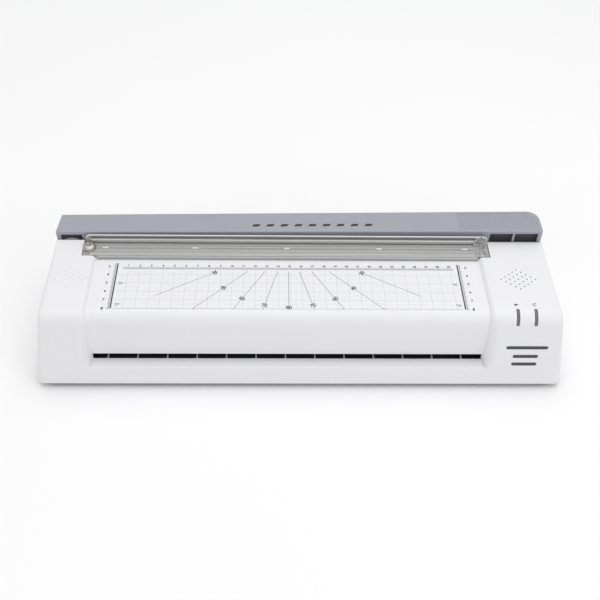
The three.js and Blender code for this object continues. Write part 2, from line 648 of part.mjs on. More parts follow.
// The fixed bushes of the lower roller and the sliding carriers of the upper one.
for (const [name, face, out] of [["left", PLATE_L, -1], ["right", PLATE_R + PLATE_T, 1]]) {
  const at = (d) => face + out * d;
  const [y, z] = LOWER_AXIS;
  const bore = SHAFT_R + SHAFT_FIT;
  const bush = joined(
    tube("x", bore, 6, ...[at(-2.6), at(2.3)].sort((a, b) => a - b), [y, z]),
    tube("x", bore, 8.4, ...[at(GAP), at(2.3)].sort((a, b) => a - b), [y, z]),
  );
  add(`${name}_bush`, bush, NYLON);
  const block = (d0, d1, y0, y1, z0, z1) =>
    box(Math.min(at(d0), at(d1)), Math.max(at(d0), at(d1)), y0, y1, z0, z1);
  const [x0, x1] = [at(-3) - 5, at(5) + 5].sort((a, b) => a - b);
  const carrier = cut(
    joined(block(GAP, 4.4, -38, -12, 30.5, 43.7), block(-2.6, 4, -34, -22, 31.4, 43.3)),
    rod("x", bore, x0 - 5, x1 + 5, UPPER_AXIS),
  );
  add(`${name}_carrier`, carrier, BLACK);
  const spring = coilSpring([at(4.9 - 2.4), ROLLER_Y], 2, 0.4, 43.9, 54, 5);
  add(`${name}_pressure_spring`, spring, STEEL);
}

add("lift_bar", box(-203, 166.5, BAR.y0, BAR.y1, BAR.z0, BAR.z1), STEEL);

// ---------------------------------------------------------------- release lever
function releaseLever() {
  const { x, y, z } = LEVER;
  const hub = rod("x", 4.6, x - 2, x + 2, [y, z]);
  const beam = box(x - 2, x + 2, y - 12, 67, z - 1.4, z + 1.4);
  const outline = [
    [66, 40.9], [68, 39.6], [72, 39.6], [72.3, 40], [72.3, 44.6], [72, 45], [68, 45], [66, 43.7],
  ];
  const tip = alongX(outline, x - 2.6, x + 2.6);
  return cut(joined(hub, beam, tip), rod("x", 2.3, x - 5, x + 5, [y, z], 16));
}

add("release_lever", releaseLever(), BLACK);
add("lever_pin", rod("x", 2, LEVER.x - 3.5, PLATE_L + PLATE_T + 0.3, [LEVER.y, LEVER.z], 16), STEEL);

// ---------------------------------------------------------------- heaters and guides
function heaterPlate(z0, z1, finZ0, finZ1) {
  const slab = box(-176, 153, -14, 22, z0, z1);
  const fins = [-10.5, 4, 18.5].map((y) => box(-176, 153, y - 1, y + 1, finZ0, finZ1));
  return joined(slab, ...fins);
}

add("upper_heater_plate", heaterPlate(28.7, 32.2, 32, 35.4), ALUMINIUM);
add("lower_heater_plate", heaterPlate(22.2, 25.7, 19, 22.4), ALUMINIUM);
add("thermostat", joined(rod("z", 6, 32.5, 41, [-40, -3.2]), rod("z", 1.2, 40, 44, [-43, -3.2], 8)), BLACK);

function ribbedGuide(outline, ribOutline) {
  const ribs = [];
  for (let k = 0; k <= 12; k++) {
    const x = BED_L + 12.6 + k * RIB_PITCH;
    ribs.push(alongX(ribOutline, x - 0.6, x + 0.6));
  }
  return joined(alongX(outline, -178, 155), ...ribs);
}

add("lower_exit_guide", ribbedGuide(
  [[-58.7, 20.8], [-40.5, 20.8], [-40.5, 22.4], [-58.7, 22.4]],
  [[-58.7, 22], [-40.5, 22], [-42, 23.6], [-58.7, 23.6]]), BLACK);
add("upper_exit_guide", ribbedGuide(
  [[-56.3, 31.6], [-40.5, 32.6], [-40.5, 34.2], [-56.3, 33.2]],
  [[-56.3, 30.4], [-41.5, 31.4], [-41.5, 32.8], [-56.3, 31.8]]), BLACK);
add("lower_entry_guide", ribbedGuide(
  [[24.6, 23], [66.5, 20.4], [66.5, 22.2], [48, 24], [24.6, 24.6]],
  [[24.6, 24.4], [48, 23.6], [66.5, 21.6], [66.5, 22.9], [48, 24.9], [24.6, 25.5]]), BLACK);
add("upper_entry_guide", ribbedGuide(
  [[24.6, 30.2], [48, 31.4], [64.5, 35], [64.5, 36.6], [48, 33.2], [24.6, 32]],
  [[24.6, 29.2], [48, 30.4], [64.5, 33.8], [64.5, 36], [48, 32], [24.6, 30.6]]), BLACK);

// ---------------------------------------------------------------- electrics
function controlBoard() {
  const board = box(178.2, 209.5, -56, -24, 43, 44.6);
  const parts = [
    box(184, 196, -44, -30, 44, 56), // relay
    rod("z", 4, 44, 58, [203, -42], 20), // capacitor
    box(198, 208, -34, -27, 44, 53), // terminal block
  ];
  return joined(board, ...parts);
}

add("control_board", controlBoard(), BOARD);
const LED_XS = { ready_led: LIGHT_XS.ready_light_pipe, power_led: LIGHT_XS.power_light_pipe };
for (const [name, x] of Object.entries(LED_XS)) {
  const profile = [[0, 44.9], [1.7, 44.9], [1.7, 46], [1.4, 46], [1.4, 50.4], [1, 51.6], [0, 52]];
  add(name, turned("z", profile, [x, -51.6], 14), LENS);
}

const switchFrame = rearFrame(SWITCH.x, SWITCH.z);
root.add(switchFrame);
const switchBody = cut(
  joined(box(-8, 8, -16, 0.5, -11, 11), box(-10, 10, GAP, 1.6, -13, 13)),
  box(-6.6, 6.6, -9, 5, -10.2, 10.2),
);
add("switch_body", switchBody, BLACK, switchFrame);

const ROCKER_OUTLINE = [
  [-5, -3], [-1, -8.8], [1.2, -9.3], [2.4, -9], [1.1, 0], [2.4, 9], [1.2, 9.3], [-1, 8.8], [-5, 3],
];
const rockerFrame = new THREE.Group();
rockerFrame.position.y = -1;
rockerFrame.rotation.x = -THREE.MathUtils.degToRad(8);
switchFrame.add(rockerFrame);
add("power_rocker", alongX(ROCKER_OUTLINE, -6.3, 6.3), DARK_GREY, rockerFrame);

const glandFrame = rearFrame(GLAND.x, GLAND.z);
root.add(glandFrame);
const GLAND_PROFILE = [
  [3.4, -5.4], [6, -5.4], [6.2, -3], [5, -3], [5, GAP], [7.2, GAP], [6.6, 2], [3.4, 2.4], [3.4, -5.4],
];
add("cord_gland", turned("y", GLAND_PROFILE, [0, 0], 20), BLACK, glandFrame);

export default root;
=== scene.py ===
import json
import math

import bmesh
import bpy
from mathutils import Matrix, Vector


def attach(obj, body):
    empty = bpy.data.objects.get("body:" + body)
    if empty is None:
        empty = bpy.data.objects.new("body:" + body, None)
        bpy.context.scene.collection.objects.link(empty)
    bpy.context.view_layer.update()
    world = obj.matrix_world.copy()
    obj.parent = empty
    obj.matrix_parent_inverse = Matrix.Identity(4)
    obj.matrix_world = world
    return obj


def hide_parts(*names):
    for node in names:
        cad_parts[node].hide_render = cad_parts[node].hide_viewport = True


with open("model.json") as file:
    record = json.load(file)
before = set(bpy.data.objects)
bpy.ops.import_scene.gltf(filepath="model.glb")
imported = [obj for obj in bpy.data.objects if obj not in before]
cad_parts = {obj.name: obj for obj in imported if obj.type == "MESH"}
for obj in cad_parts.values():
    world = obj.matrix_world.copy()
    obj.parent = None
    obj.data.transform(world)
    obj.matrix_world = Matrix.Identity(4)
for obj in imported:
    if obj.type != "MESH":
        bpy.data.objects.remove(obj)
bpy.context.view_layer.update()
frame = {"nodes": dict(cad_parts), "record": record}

MM = 0.001
SCENE = bpy.context.scene

# ---------------------------------------------------------------- sizes, in millimetres
RIM_Z = 5.8
BED_Z = 76
WING_Z = 79
HALF_W = 217.5
FLARE = 0.15
FRONT_Y = -60.6
FRONT_FLARE = 0.161
REAR_Y = 61.4
REAR_FLARE = 0.15
FRONT_R = 12.4
BED_R = 12.0
WALL = 2.2
BED_X0 = -180
BED_X1 = 157
BED_MID = (BED_X0 + BED_X1) / 2
BED_FRONT_Y = -59
LEDGE_Z = 23.8
SLOT_TOP_Z = 30
POCKET_X0 = -192.6
POCKET_X1 = 167.7
POCKET_Y = 12
STEP_Y = 32.1
DECK_Z = 65
WELL_X = -188
WELL_Z = 58.5
CUT_Y = 31  # the line that the trimmer cuts along
KNIFE_X0 = -190  # the recess of the fixed knife in the cover's step
KNIFE_X1 = 166
KNIFE_Y = 29.6
KNIFE_Z = 67.7
RULER_X0 = BED_MID - 148.5  # the printed sheet edges are 297 mm apart
RULER_X1 = BED_MID + 148.5
PRINT_NEAR = 26  # distances of the print from the cut line
PRINT_FAR = 80
PIVOT = Vector((-204.6, 0, 74.5))
ARM = {"left": -218.2, "right": 217.1, "low": 67, "top": 85.6, "wall": 2.5}
ARM_FRONT = (35, 33.4)
ARM_BACK = (59.2, 61.2)
ARM_DEPTH = 26
ARM_SLANT = 1.9
BLADE_X0 = -189.7
BLADE_X1 = 165.7
ARM_REST = math.radians(0.77)
LIGHT_XS = {"ready_lens": 180.1, "power_lens": 195.3}
LIGHT_CENTRE = (FRONT_Y + 10.57, WING_Z - FRONT_R)
GUARD_SCREW = (-187.1, 21.7)
GUARD_SPRING = (162.6, 21.7)
GUARD = {"low": 76.9, "top": 78.6, "left": -192, "right": 167.1, "tab": 12.6, "front": 9.7, "wall": 28.4,
         "high": 88}
EDGE_STEPS = 3  # facets across a rounded end edge
TURN_STEPS = 48  # facets around a turned piece
ROD_STEPS = 10  # facets around a swept rod


# ---------------------------------------------------------------- camera, light, floor
def place_camera():
    heading, dip, roll = math.radians(2.26), math.radians(45.97), math.radians(1.84)
    forward = Vector((math.sin(heading) * math.cos(dip), math.cos(heading) * math.cos(dip), -math.sin(dip)))
    level = Vector((math.cos(heading), -math.sin(heading), 0))
    rise = level.cross(forward)
    right = level * math.cos(roll) + rise * math.sin(roll)
    up = right.cross(forward)
    data = bpy.data.cameras.new("camera")
    data.sensor_width = 36
    data.lens = 53.2
    data.clip_start = 0.05
    data.clip_end = 20
    camera = bpy.data.objects.new("camera", data)
    SCENE.collection.objects.link(camera)
    turn = Matrix((right, up, -forward)).transposed().to_4x4()
    camera.matrix_world = Matrix.Translation(Vector((-22.5, -558.1, 613.7)) * MM) @ turn
    SCENE.camera = camera


def area_light(name, position, target, size, power):
    data = bpy.data.lights.new(name, "AREA")
    data.shape = "RECTANGLE"
    data.size, data.size_y = size
    data.energy = power
    light = bpy.data.objects.new(name, data)
    SCENE.collection.objects.link(light)
    light.location = position
    light.rotation_euler = (Vector(target) - Vector(position)).to_track_quat("-Z", "Y").to_euler()


def light_studio():
    world = bpy.data.worlds.new("studio")
    SCENE.world = world
    world.use_nodes = True
    background = world.node_tree.nodes["Background"]
    background.inputs["Color"].default_value = (1, 1, 1, 1)
    background.inputs["Strength"].default_value = 0.64
    area_light("overhead", (0.15, 0.1, 1.9), (0, 0.05, 0.05), (2.2, 1.9), 17)
    area_light("front_left", (-1.1, -1.2, 1.1), (0, 0, 0.05), (0.9, 0.9), 1.3)
    area_light("front_right", (1.2, -1.1, 1.1), (0, 0, 0.05), (0.9, 0.9), 3.2)
    SCENE.view_settings.view_transform = "Standard"


# ---------------------------------------------------------------- materials
def material(name, **values):
    """A Principled material; constants go straight onto the shader's own sockets."""
    made = bpy.data.materials.new(name)
    made.use_nodes = True
    shader = made.node_tree.nodes["Principled BSDF"]
    for key, value in values.items():
        socket = shader.inputs[key.replace("_", " ")]
        socket.default_value = (*value, 1) if isinstance(value, tuple) else value
    return made


def node(made, kind, **values):
    new = made.node_tree.nodes.new(kind)
    for key, value in values.items():
        if hasattr(new, key):
            setattr(new, key, value)
        else:
            new.inputs[key].default_value = value
    return new


def link(made, out, into):
    made.node_tree.links.new(out, into)


def shader_of(made):
    return made.node_tree.nodes["Principled BSDF"]


def noise(made, scale, detail, roughness=0.5, stretch=None):
    """Noise in the object's own coordinates; stretch squeezes it along an axis, as for brushing."""
    coords = node(made, "ShaderNodeTexCoord")
    texture = node(made, "ShaderNodeTexNoise")
    texture.inputs["Scale"].default_value = scale
    texture.inputs["Detail"].default_value = detail
    texture.inputs["Roughness"].default_value = roughness
    source = coords.outputs["Object"]
    if stretch:
        mapping = node(made, "ShaderNodeMapping")
        mapping.inputs["Scale"].default_value = stretch
        link(made, source, mapping.inputs["Vector"])
        source = mapping.outputs["Vector"]
    link(made, source, texture.inputs["Vector"])
    return texture.outputs["Fac"]


def ramp(made, fac, stops):
    """Colour by position: stops are (position, colour)."""
    new = node(made, "ShaderNodeValToRGB")
    link(made, fac, new.inputs["Fac"])
    elements = new.color_ramp.elements
    while len(elements) < len(stops):
        elements.new(0.5)
    for element, (position, colour) in zip(elements, stops):
        element.position = position
        element.color = (*colour, 1)
    return new.outputs["Color"]


def spread(made, fac, low, high):
    new = node(made, "ShaderNodeMapRange")
    link(made, fac, new.inputs["Value"])
    new.inputs["To Min"].default_value = low
    new.inputs["To Max"].default_value = high
    return new.outputs["Result"]


def add_bump(made, height, strength, distance, below=None):
    new = node(made, "ShaderNodeBump")
    new.inputs["Strength"].default_value = strength
    new.inputs["Distance"].default_value = distance
    link(made, height, new.inputs["Height"])
    if below is not None:
        link(made, below, new.inputs["Normal"])
    link(made, new.outputs["Normal"], shader_of(made).inputs["Normal"])
    return new.outputs["Normal"]


def shade(colour, factor):
    return tuple(min(1, c * factor) for c in colour)


def moulded(name, colour, roughness, grain=1400, sway=0.03):
    """Injection-moulded plastic: fine spark-eroded grain, faint flow mottling, uneven gloss."""
    made = material(name, Base_Color=colour, Roughness=roughness, IOR=1.5)
    shader = shader_of(made)
    mottle = noise(made, 22, 4, 0.55)
    tone = ramp(made, mottle, [(0.3, shade(colour, 1 - sway)), (0.7, shade(colour, 1 + sway))])
    link(made, tone, shader.inputs["Base Color"])
    gloss = spread(made, noise(made, 60, 3), roughness - 0.06, roughness + 0.06)
    link(made, gloss, shader.inputs["Roughness"])
    large = add_bump(made, noise(made, 90, 2), 0.05, 0.0004)
    add_bump(made, noise(made, grain, 2, 0.6), 0.35, 0.00006, below=large)
    return made


def ground_metal(name, colour, roughness, along, scale=900):
    """Metal with fine marks along one axis: along is the stretch of the marks."""
    made = material(name, Base_Color=colour, Metallic=1.0, Roughness=roughness)
    shader = shader_of(made)
    marks = noise(made, scale, 4, 0.6, stretch=along)
    tone = ramp(made, marks, [(0.25, shade(colour, 0.86)), (0.75, shade(colour, 1.1))])
    link(made, tone, shader.inputs["Base Color"])
    link(made, spread(made, marks, roughness - 0.08, roughness + 0.12), shader.inputs["Roughness"])
    add_bump(made, marks, 0.25, 0.00003)
    return made


def rubbery(name, colour, roughness=0.75):
    made = material(name, Base_Color=colour, Roughness=roughness)
    shader = shader_of(made)
    tone = ramp(made, noise(made, 45, 4), [(0.3, shade(colour, 0.85)), (0.7, shade(colour, 1.15))])
    link(made, tone, shader.inputs["Base Color"])
    add_bump(made, noise(made, 1800, 2, 0.7), 0.5, 0.00006)
    return made


def ink(name, colour):
    """Pad-printed ink: slightly uneven in density and a little glossier than the plastic."""
    made = material(name, Base_Color=colour, Roughness=0.38)
    shader = shader_of(made)
    tone = ramp(made, noise(made, 700, 3), [(0.35, shade(colour, 0.9)), (0.65, shade(colour, 1.12))])
    link(made, tone, shader.inputs["Base Color"])
    return made


def clear_plastic(name, colour, roughness):
    """Clear plastic, a little milky; fine scuffs vary its gloss."""
    made = material(name, Base_Color=colour, Roughness=roughness, IOR=1.49, Transmission_Weight=0.45)
    gloss = spread(made, noise(made, 2600, 2, 0.5), roughness * 0.8, roughness * 1.25)
    link(made, gloss, shader_of(made).inputs["Roughness"])
    return made


def hatched_plastic(name, colour):
    """Satin clear plastic for the moulded grip pattern."""
    made = material(name, Base_Color=colour, Roughness=0.14, IOR=1.49, Transmission_Weight=0.35)
    tone = ramp(made, noise(made, 650, 3, 0.7), [(0.38, shade(colour, 0.5)), (0.62, shade(colour, 1.35))])
    link(made, tone, shader_of(made).inputs["Base Color"])
    return made


def frosted_plastic(name, colour, roughness):
    """Clear plastic with a satin surface, so that it scatters light. Its colours here paint highlights and
    shade on the guard.
    """
    made = material(name, Base_Color=colour, Roughness=roughness, IOR=1.49, Transmission_Weight=0.2)
    shader = shader_of(made)
    gloss = spread(made, noise(made, 500, 3), roughness * 0.7, roughness * 1.4)
    link(made, gloss, shader.inputs["Roughness"])
    add_bump(made, noise(made, 1500, 2, 0.6), 0.25, 0.00005)
    return made


MATERIALS = {
    "white_shell": moulded("white_shell", (0.82, 0.82, 0.845), 0.42, sway=0.008),
    "grey_plastic": moulded("grey_plastic", (0.352, 0.366, 0.412), 0.44, sway=0.02),
    "tray_plastic": moulded("tray_plastic", (0.25, 0.25, 0.27), 0.5),
    "black_plastic": moulded("black_plastic", (0.012, 0.012, 0.014), 0.4),
    "rubber_foot": rubbery("rubber_foot", (0.02, 0.02, 0.021)),
    "roller_rubber": rubbery("roller_rubber", (0.45, 0.07, 0.03), 0.6),
    "nylon": moulded("nylon", (0.76, 0.72, 0.62), 0.45),
    "clear_plastic": clear_plastic("clear_plastic", (0.6, 0.6, 0.6), 0.08),
    # painted highlight: near white, for the light caught by the clear guard's beads and marks
    "bead_painted_highlight": frosted_plastic("bead_painted_highlight", (0.93, 0.93, 0.92), 0.3),
    # painted highlight: pale strips, for the bright lines of the clear guard
    "line_painted_highlight": frosted_plastic("line_painted_highlight", (0.66, 0.66, 0.65), 0.3),
    # painted shade: dark strips on the guard's upright wall, for the shade between its beads
    "guard_painted_shade": frosted_plastic("guard_painted_shade", (0.185, 0.185, 0.18), 0.35),
    "hatched_pad": hatched_plastic("hatched_pad", (0.72, 0.72, 0.73)),
    # painted shade: near black, for the plates that stand in for the shade inside the hollow arm
    "arm_painted_shade": moulded("arm_painted_shade", (0.07, 0.07, 0.075), 0.5),
    "light_pipe": moulded("light_pipe", (0.15, 0.15, 0.16), 0.22, grain=900),
    "blade_steel": ground_metal("blade_steel", (0.62, 0.63, 0.65), 0.24, (0.04, 1, 1)),
    "plated_steel": ground_metal("plated_steel", (0.56, 0.55, 0.53), 0.3, (1, 1, 1), 260),
    "heater_aluminium": ground_metal("heater_aluminium", (0.6, 0.61, 0.62), 0.36, (0.05, 1, 1)),
    "circuit_board": moulded("circuit_board", (0.02, 0.14, 0.05), 0.3, grain=500),
}
SLOT_OF = {row["node"]: row["material_slot"] for row in frame["record"]["subparts"]}
BODY_OF = {n: b for b, ns in frame["record"]["behaviour"]["bodies"].items() for n in ns}


# ---------------------------------------------------------------- mesh helpers
def placed(name, mesh):
    made = bpy.data.objects.new(name, mesh)
    SCENE.collection.objects.link(made)
    return made


def new_mesh(name, verts, faces):
    """verts are in millimetres."""
    mesh = bpy.data.meshes.new(name)
    mesh.from_pydata([Vector(v) * MM for v in verts], [], faces)
    return mesh


def new_object(name, verts, faces):
    made = placed(name, new_mesh(name, verts, faces))
    tidy(made)
    return made


def open_edges(bm):
    return sum(len(edge.link_faces) != 2 for edge in bm.edges)


def tidy(made, merge=0.002):
    """Merges doubled points where that leaves the mesh closed, and turns the faces outwards."""
    bm = bmesh.new()
    bm.from_mesh(made.data)
    merged = bm.copy()
    bmesh.ops.remove_doubles(merged, verts=merged.verts, dist=merge * MM)
    bmesh.ops.dissolve_degenerate(merged, edges=merged.edges, dist=1e-7)
    kept = merged if open_edges(merged) <= open_edges(bm) else bm
    bmesh.ops.recalc_face_normals(kept, faces=kept.faces)
    kept.to_mesh(made.data)
    merged.free()
    bm.free()


def smooth(made, angle):
    """Smooth shading with hard edges where the surface turns by more than angle degrees."""
    bm = bmesh.new()
    bm.from_mesh(made.data)
    for face in bm.faces:
        face.smooth = True
    limit = math.radians(angle)
    for edge in bm.edges:
        edge.smooth = len(edge.link_faces) == 2 and edge.calc_face_angle(0) < limit
    bm.to_mesh(made.data)
    bm.free()
    return made


def loft(name, rings):
    """A closed solid through rings of equally many points, with one face on each end."""
    count = len(rings[0])
    verts = [p for ring in rings for p in ring]
    faces = []
    for level in range(len(rings) - 1):
        for i in range(count):
            j = (i + 1) % count
            a, b = level * count, (level + 1) * count
            faces.append((a + i, a + j, b + j, b + i))
    faces.append(tuple(range(count))[::-1])
    faces.append(tuple(range((len(rings) - 1) * count, len(rings) * count)))
    return new_object(name, verts, faces)


def rounded(corners, steps, closed=True):
    """An outline through corners (a, b, radius), with each corner turned into an arc."""
    points = []
    count = len(corners)
    for i, (a, b, radius) in enumerate(corners):
        here = Vector((a, b))
        if not closed and i in (0, count - 1):
            points.append(here)
            continue
        before = Vector(corners[i - 1][:2]) - here
        after = Vector(corners[(i + 1) % count][:2]) - here
        if min(before.length, after.length) < 1e-6 or radius < 1e-6:
            points += [here] * (steps + 1)
            continue
        u, v = before.normalized(), after.normalized()
        half = math.acos(max(-1, min(1, u.dot(v)))) / 2
        reach = min(radius / max(math.tan(half), 1e-6), 0.49 * before.length, 0.49 * after.length)
        if half > math.radians(89.5):
            reach = min(0.2, 0.3 * before.length, 0.3 * after.length)
        start, end = here + u * reach, here + v * reach
        sweep = math.pi - 2 * half
        for k in range(steps + 1):
            if sweep < 0.02:
                points.append(start.lerp(end, k / steps))
                continue
            r = reach * math.tan(half)
            centre = here + (u + v).normalized() * (r / math.sin(half))
            t = k / steps
            arm0, arm1 = start - centre, end - centre
            w0, w1 = math.sin((1 - t) * sweep), math.sin(t * sweep)
            points.append(centre + (arm0 * w0 + arm1 * w1) / math.sin(sweep))
    return [(p.x, p.y) for p in points]


def box_corners(a0, a1, b0, b1, radii):
    """Corners of a rectangle from the low corner, anticlockwise."""
    r = radii if isinstance(radii, (list, tuple)) else [radii] * 4
    return [(a0, b0, r[0]), (a1, b0, r[1]), (a1, b1, r[2]), (a0, b1, r[3])]


def box_points(a0, a1, b0, b1):
    return [(a0, b0), (a1, b0), (a1, b1), (a0, b1)]


PUSH = {
    "x": lambda a, b, t: (t, a, b),
    "y": lambda a, b, t: (a, t, b),
    "z": lambda a, b, t: (a, b, t),
}


def pushed(name, axis, outline, low, high, edge=0.0):
    """An outline pushed along an axis, with its end edges rounded by edge."""
    place = PUSH[axis]
    if edge <= 0:
        return loft(name, [[place(a, b, t) for a, b in outline] for t in (low, high)])
    turns = [math.pi / 2 * k / EDGE_STEPS for k in range(EDGE_STEPS + 1)]
    levels = [(low + edge * (1 - math.cos(t)), edge * (1 - math.sin(t))) for t in turns]
    levels += [(high - (t - low), inset) for t, inset in reversed(levels)]
    return loft(name, [[place(a, b, t) for a, b in shrunk(outline, inset)] for t, inset in levels])


def shrunk(outline, inset):
    """Each point of a closed outline moved inwards by inset."""
    if inset < 1e-9:
        return outline
    points = [Vector(p) for p in outline]
    count = len(points)
    area = sum(points[i - 1].x * points[i].y - points[i].x * points[i - 1].y for i in range(count))
    side = 1 if area > 0 else -1
    moved = []
    for i, p in enumerate(points):
        before, after = p - points[i - 1], points[(i + 1) % count] - p
        j = i
        while before.length < 1e-6:
            j -= 1
            before = p - points[j - 1]
        j = i + 1
        while after.length < 1e-6:
            j += 1
            after = points[j % count] - p
        n0 = Vector((-before.y, before.x)).normalized()
        n1 = Vector((-after.y, after.x)).normalized()
        normal = n0 + n1
        normal = normal / max(normal.length_squared / 2, 0.3)
        moved.append(tuple(p + normal * side * inset))
    return moved


def rod(name, axis, radius, low, high, at, steps):
    a, b = at
    turns = [2 * math.pi * k / steps for k in range(steps)]
    outline = [(a + radius * math.cos(t), b + radius * math.sin(t)) for t in turns]
    return pushed(name, axis, outline, low, high)


def turned(name, profile, at):
    """A closed solid turned about a vertical line; the profile starts and ends on it."""
    x, y = at
    turns = [2 * math.pi * k / TURN_STEPS for k in range(TURN_STEPS)]
    rings = [[(x + max(r, 0.001) * math.cos(t), y + max(r, 0.001) * math.sin(t), z) for t in turns]
             for r, z in profile]
    return loft(name, rings)


def joined(name, parts):
    """One object that holds several meshes which don't touch."""
    bm = bmesh.new()
    for part in parts:
        bm.from_mesh(part.data)
        bpy.data.objects.remove(part)
    mesh = bpy.data.meshes.new(name)
    bm.to_mesh(mesh)
    bm.free()
    return placed(name, mesh)


def combine(made, tools, operation="DIFFERENCE"):
    """Cuts tools out of an object, or joins them to it, one at a time."""
    for tool in tools:
        modifier = made.modifiers.new("combine", "BOOLEAN")
        modifier.operation = operation
        modifier.solver = "EXACT"
        modifier.object = tool
        apply_modifiers(made)
        bpy.data.objects.remove(tool)
    tidy(made, merge=0.001)
    return made


def apply_modifiers(made):
    depsgraph = bpy.context.evaluated_depsgraph_get()
    depsgraph.update()
    mesh = bpy.data.meshes.new_from_object(made.evaluated_get(depsgraph))
    made.modifiers.clear()
    made.data = mesh


def bevel(made, width, angle, segments):
    """Rounds the edges that turn by more than angle degrees."""
    modifier = made.modifiers.new("edges", "BEVEL")
    modifier.width = width * MM
    modifier.segments = segments
    modifier.limit_method = "ANGLE"
    modifier.angle_limit = math.radians(angle)
    modifier.use_clamp_overlap = True
    modifier.harden_normals = False
    apply_modifiers(made)
    return made


def finish_piece(made, slot, body, nodes=(), finish=None):
    """Gives a piece the material of its slot, or the finish given, puts it on its body, and hides the CAD
    nodes that it stands in for.
    """
    made.data.materials.clear()
    made.data.materials.append(finish or MATERIALS[slot])
    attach(made, body)
    if nodes:
        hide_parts(*nodes)


# ---------------------------------------------------------------- white cover
def ease(run, width):
    """0 in the bed, 1 on the wing: a crisp foot, a 45 degree slope and a soft shoulder."""
    t = max(0.0, min(1.0, run / width))
    foot = min(1.0, t / 0.16)
    return (1 - (1 - t) ** 2.1) * (0.55 + 0.45 * foot)


def front_at(z):
    return FRONT_Y - FRONT_FLARE * (WING_Z - z)


def rear_at(z):
    return REAR_Y + REAR_FLARE * (WING_Z - z)


def side_at(z):
    return HALF_W + FLARE * (WING_Z - z)


def cover_corners(x, thick):
    """The cover's outline across the machine at x: corners (y, z, radius), from the rear rim over
    the top to the front rim. thick moves it inwards, for the hollow."""
    run = max(BED_X0 - x, x - BED_X1, 0.0) - thick
    deck = (WELL_Z if x < WELL_X + thick else DECK_Z) - thick
    in_pocket = POCKET_X0 - thick < x < POCKET_X1 + thick
    knife = KNIFE_X0 - thick < x < KNIFE_X1 + thick
    back_z = (BED_Z if in_pocket else WING_Z) - thick

    def between(bed, wing, depth):
        share = ease(run, 2.2 + 0.75 * depth) if run > 0 else 0.0
        return [b + (w - b) * share for b, w in zip(bed, wing)]

    top_depth = WING_Z - BED_Z
    front_z = between((BED_Z,), (WING_Z,), top_depth)[0] - thick
    if in_pocket:
        front_z = max(front_z, back_z)
    foot_z = 32.5
    low_depth = BED_FRONT_Y - front_at(LEDGE_Z)
    shoulder = between((BED_FRONT_Y, BED_Z, BED_R), (FRONT_Y, WING_Z, FRONT_R), top_depth)
    shoulder_z = max(shoulder[1] - thick, back_z) if in_pocket else shoulder[1] - thick
    crease = between((BED_FRONT_Y, LEDGE_Z, 0.4), (front_at(foot_z), foot_z, 0.4), low_depth)
    lip = (front_at(LEDGE_Z), LEDGE_Z, 0.9)
    step = (CUT_Y if knife else STEP_Y) - thick
    knife_y = KNIFE_Y - thick if knife else step
    base_z = RIM_Z if thick == 0 else RIM_Z - 6
    bend = max(0.05, 1 - thick)
    return [
        (rear_at(base_z) - thick, base_z, 0),
        (rear_at(deck + thick) - thick, deck, 1.6 * bend),
        (step, deck, 0.8),
        (step, KNIFE_Z - thick, 0.15),
        (knife_y, KNIFE_Z - thick, 0.15),
        (knife_y, back_z, 0.5 * bend),
        (POCKET_Y - thick, back_z, 0.4),
        (POCKET_Y - thick, max(front_z, back_z), 0.7 * bend),
        (shoulder[0] + thick, shoulder_z, max(shoulder[2] - thick, 0.1)),
        (crease[0] + thick, crease[1] - thick * (1 if crease[1] < 30 else 0), crease[2]),
        (lip[0] + thick, lip[1] - thick, lip[2] * bend),
        (front_at(base_z) + thick, base_z, 0),
    ]


def cover_stations(thick):
    """Where the outline is taken along x: close together where it changes."""
    stations = []
    for mark, sign in ((WELL_X, 1), (POCKET_X0, -1), (POCKET_X1, 1), (KNIFE_X0, -1), (KNIFE_X1, 1)):
        at = mark + sign * thick
        stations += [at - 0.03, at + 0.03]
    if thick:
        runs = [0, 2, 4, 6, 8, 10, 12]
        stations += [-206, 206]
    else:
        runs = [0, 0.25, 0.5, 0.9, 1.3, 1.8, 2.4, 3, 3.7, 4.4, 5.2, 6, 7, 8, 9, 10, 10.6]
        stations += [-208, 208]
    for run in runs:
        stations += [BED_X0 - run - thick, BED_X1 + run + thick]
    stations += [BED_X0 + 6, BED_X1 - 6, -120, -60, 0, 60, 120]
    return sorted(stations)


def end_radius(y, z):
    """Rounding of the cover's end edge: small along the back deck, smallest at the wing's back corner,
    larger over the wing and the front, and growing towards the rim."""
    high = 3.0 if y < 28 else 0.8 if z < 70 else 0.4
    return high + (6.0 - high) * max(0.0, (52 - z) / 46) ** 2


def cover_form(name, thick):
    """The cover's outer form, or with thick the form of its hollow."""
    steps = 7 if thick == 0 else 3
    rings = [[(x, y, z) for y, z in rounded(cover_corners(x, thick), steps, closed=False)]
             for x in cover_stations(thick)]
    for side, ring in ((-1, rings[0]), (1, rings[-1])):
        outline = [(y, z) for _, y, z in ring]
        ends = []
        for k in range(7 if thick == 0 else 1):
            turn = math.pi / 2 * k / 6
            inward = []
            for (y, z), (yn, zn) in zip(outline, shrunk_open(outline)):
                r = end_radius(y, z) if thick == 0 else 0.4
                d = r * (1 - math.cos(turn))
                yy, zz = y + yn * d, z + zn * d
                x = side_at(zz) - thick - r * (1 - math.sin(turn))
                inward.append((side * x, yy, zz))
            ends.append(inward)
        rings = ends[::-1] + rings if side < 0 else rings + ends
    return loft(name, rings)


